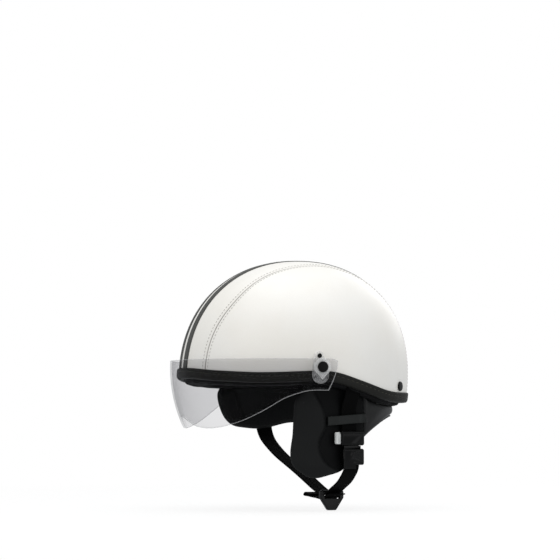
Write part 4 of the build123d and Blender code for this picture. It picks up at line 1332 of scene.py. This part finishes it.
# Chin strap: shares of the span inwards from the buckle, and of its drop from the start in the tongue
chin = {
    "buckleOut": 5.4 * mm,
    "farOut": 3.75 * mm,
    "start": -101.5 * mm,
    "drop": 43 * mm,
    "route": ((0.0, 0.0), (0.0, 0.302), (0.026, 0.465), (0.072, 0.651), (0.164, 0.875), (0.216, 0.995),
              (0.298, 0.953), (0.41, 0.744), (0.564, 0.43), (0.688, 0.198), (0.78, 0.023), (0.903, -0.279),
              (0.965, -0.5), (1.0, -0.8), (1.0, -1.06)),
    "tail": ((0.144, 0.985), (0.2, 1.03), (0.232, 1.1), (0.298, 1.1), (0.369, 1.072), (0.425, 1.05),
             (0.447, 1.025), (0.44, 0.985), (0.41, 0.99), (0.37, 1.012)),
    "tailThickness": 1.6 * mm,
    "twist": (-95 * mm, -60 * mm),        # levels between which it turns under the far hanger
    "stretch": (3 * mm, 40 * mm),         # below its far end, for stretchStart and stretchEnd
}
buckleSpot = hangers[1][0] + hangers[1][1] * chin["buckleOut"]
farSpot = hangers[-1][0] + hangers[-1][1] * chin["farOut"]
strapSpan = np.linalg.norm(buckleSpot - farSpot)
strapOut = (buckleSpot - farSpot) / strapSpan
strapWide = sideways(strapOut)


def chinLine(route, count):
    route = [(strapSpan * place, chin["start"] - chin["drop"] * fall) for place, fall in route]
    flat = splineThrough(route, count)
    return buckleSpot - strapOut * flat[:, :1] + upward * flat[:, 1:]


chinPath = chinLine(chin["route"], 260)
twist = soften(chinPath[:, 2], *chin["twist"])[:, None] * (chinPath[:, :1] < 0)
chinWide = strapWide * (1 - twist) - rightWide * twist * np.sign(-rightWide @ strapWide)
chinPiece = strap("chinStrap", chinPath, chinWide, 63)
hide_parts("chin_strap")
stretchStart, stretchEnd = (tuple(chinPath[-1] - upward * drop) for drop in chin["stretch"])
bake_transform(chinPiece)
tailPiece = strap("strapTail", chinLine(chin["tail"], 120), strapWide, 64, chin["tailThickness"])
settle(tailPiece, strapBody, "webbing_black", "strap_tail")
print("webbing ready")

# Floor, camera and lights
studio = {
    "azimuth": math.radians(71),
    "elevation": math.radians(-1.5),
    "distance": 2.6,
    "millimetresPerPixel": 1.162,
    "aim": (-15.6 * mm, 102.6 * mm),      # right and up in the picture plane
    "picture": 560,
    "clip": (0.05, 60),
    "floorRadius": 1.25,
    "floorGap": 0.5 * mm,
    "floorTone": (0.9, 0.9, 0.9),
    "floorClear": 0.86,                   # share of the white surround that shows through the floor
    "surroundTone": (0.95, 0.975, 1.0),
    "surroundStrength": 0.64,
    "seenTone": (1.0, 1.0, 1.0),
}
azimuth, elevation = studio["azimuth"], studio["elevation"]
back = Vector((math.sin(azimuth) * math.cos(elevation), -math.cos(azimuth) * math.cos(elevation),
               math.sin(elevation)))
right = Vector((math.cos(azimuth), math.sin(azimuth), 0))
up = back.cross(right)
target = right * studio["aim"][0] + up * studio["aim"][1]
cameraData = bpy.data.cameras.new("camera")
camera = bpy.data.objects.new("camera", cameraData)
bpy.context.scene.collection.objects.link(camera)
camera.location = back * studio["distance"]
camera.rotation_mode = "QUATERNION"
camera.rotation_quaternion = (camera.location - target).to_track_quat("Z", "Y")
frameWidth = studio["picture"] * studio["millimetresPerPixel"] * mm
cameraData.lens = cameraData.sensor_width * studio["distance"] / frameWidth
cameraData.clip_start, cameraData.clip_end = studio["clip"]
bpy.context.scene.camera = camera

# The floor fades out towards its rim, so that it doesn't cut the white surround
floorPaint = Paint("floor")
floorReach = floorPaint.node("ShaderNodeVectorMath", {"operation": "LENGTH"}, floorPaint.place(), out=1)
floorFade = floorPaint.ramp(floorReach / studio["floorRadius"], (0.3, studio["floorClear"]), (0.98, 1.0))
floorSurface = floorPaint.surface(Base_Color=studio["floorTone"], Roughness=0.9, Specular_IOR_Level=0.1)
floorOpen = floorPaint.node("ShaderNodeBsdfTransparent")
floorShader = floorPaint.node("ShaderNodeMixShader", None, floorFade, floorSurface, floorOpen)
floorMaterial = floorPaint.done(floorShader)
floorLevel = cadLow.z - studio["floorGap"]
floorPoints = [(studio["floorRadius"] * math.cos(turn), studio["floorRadius"] * math.sin(turn), floorLevel)
               for turn in np.linspace(0, 2 * math.pi, 97)[:-1]]
floor = addPiece("floor", floorPoints, [range(len(floorPoints))], [floorMaterial], smooth=False)

# The surround lights softly and looks white
sky = Paint("studio", "worlds")
surround = sky.node("ShaderNodeBackground", None, studio["surroundTone"], studio["surroundStrength"])
seen = sky.node("ShaderNodeBackground", None, studio["seenTone"], 1.0)
choice = sky.node("ShaderNodeMixShader", None, sky.node("ShaderNodeLightPath"), surround, seen)
bpy.context.scene.world = sky.done(choice, "ShaderNodeOutputWorld")


def softbox(name, place, size, power, tone=(1.0, 1.0, 1.0), aim=(0, 0, 0.02)):
    data = bpy.data.lights.new(name, "AREA")
    data.shape = "RECTANGLE"
    data.size, data.size_y = size
    data.energy = power
    data.color = tone
    lamp = bpy.data.objects.new(name, data)
    bpy.context.scene.collection.objects.link(lamp)
    lamp.location = place
    lamp.rotation_mode = "QUATERNION"
    lamp.rotation_quaternion = (Vector(place) - Vector(aim)).to_track_quat("Z", "Y")


softbox("topLight", (0.25, -0.1, 1.5), (1.8, 1.8), power=17)
softbox("keyLight", (0.9, -1.3, 0.75), (1.0, 1.0), power=4.5, tone=(1.0, 0.97, 0.92))
softbox("fillLight", (1.4, 0.9, 0.35), (1.0, 1.2), power=3.5)
softbox("rearLight", (-0.9, 1.2, 0.7), (0.9, 0.9), power=5)
bpy.context.scene.view_settings.view_transform = "Standard"
print("studio ready")
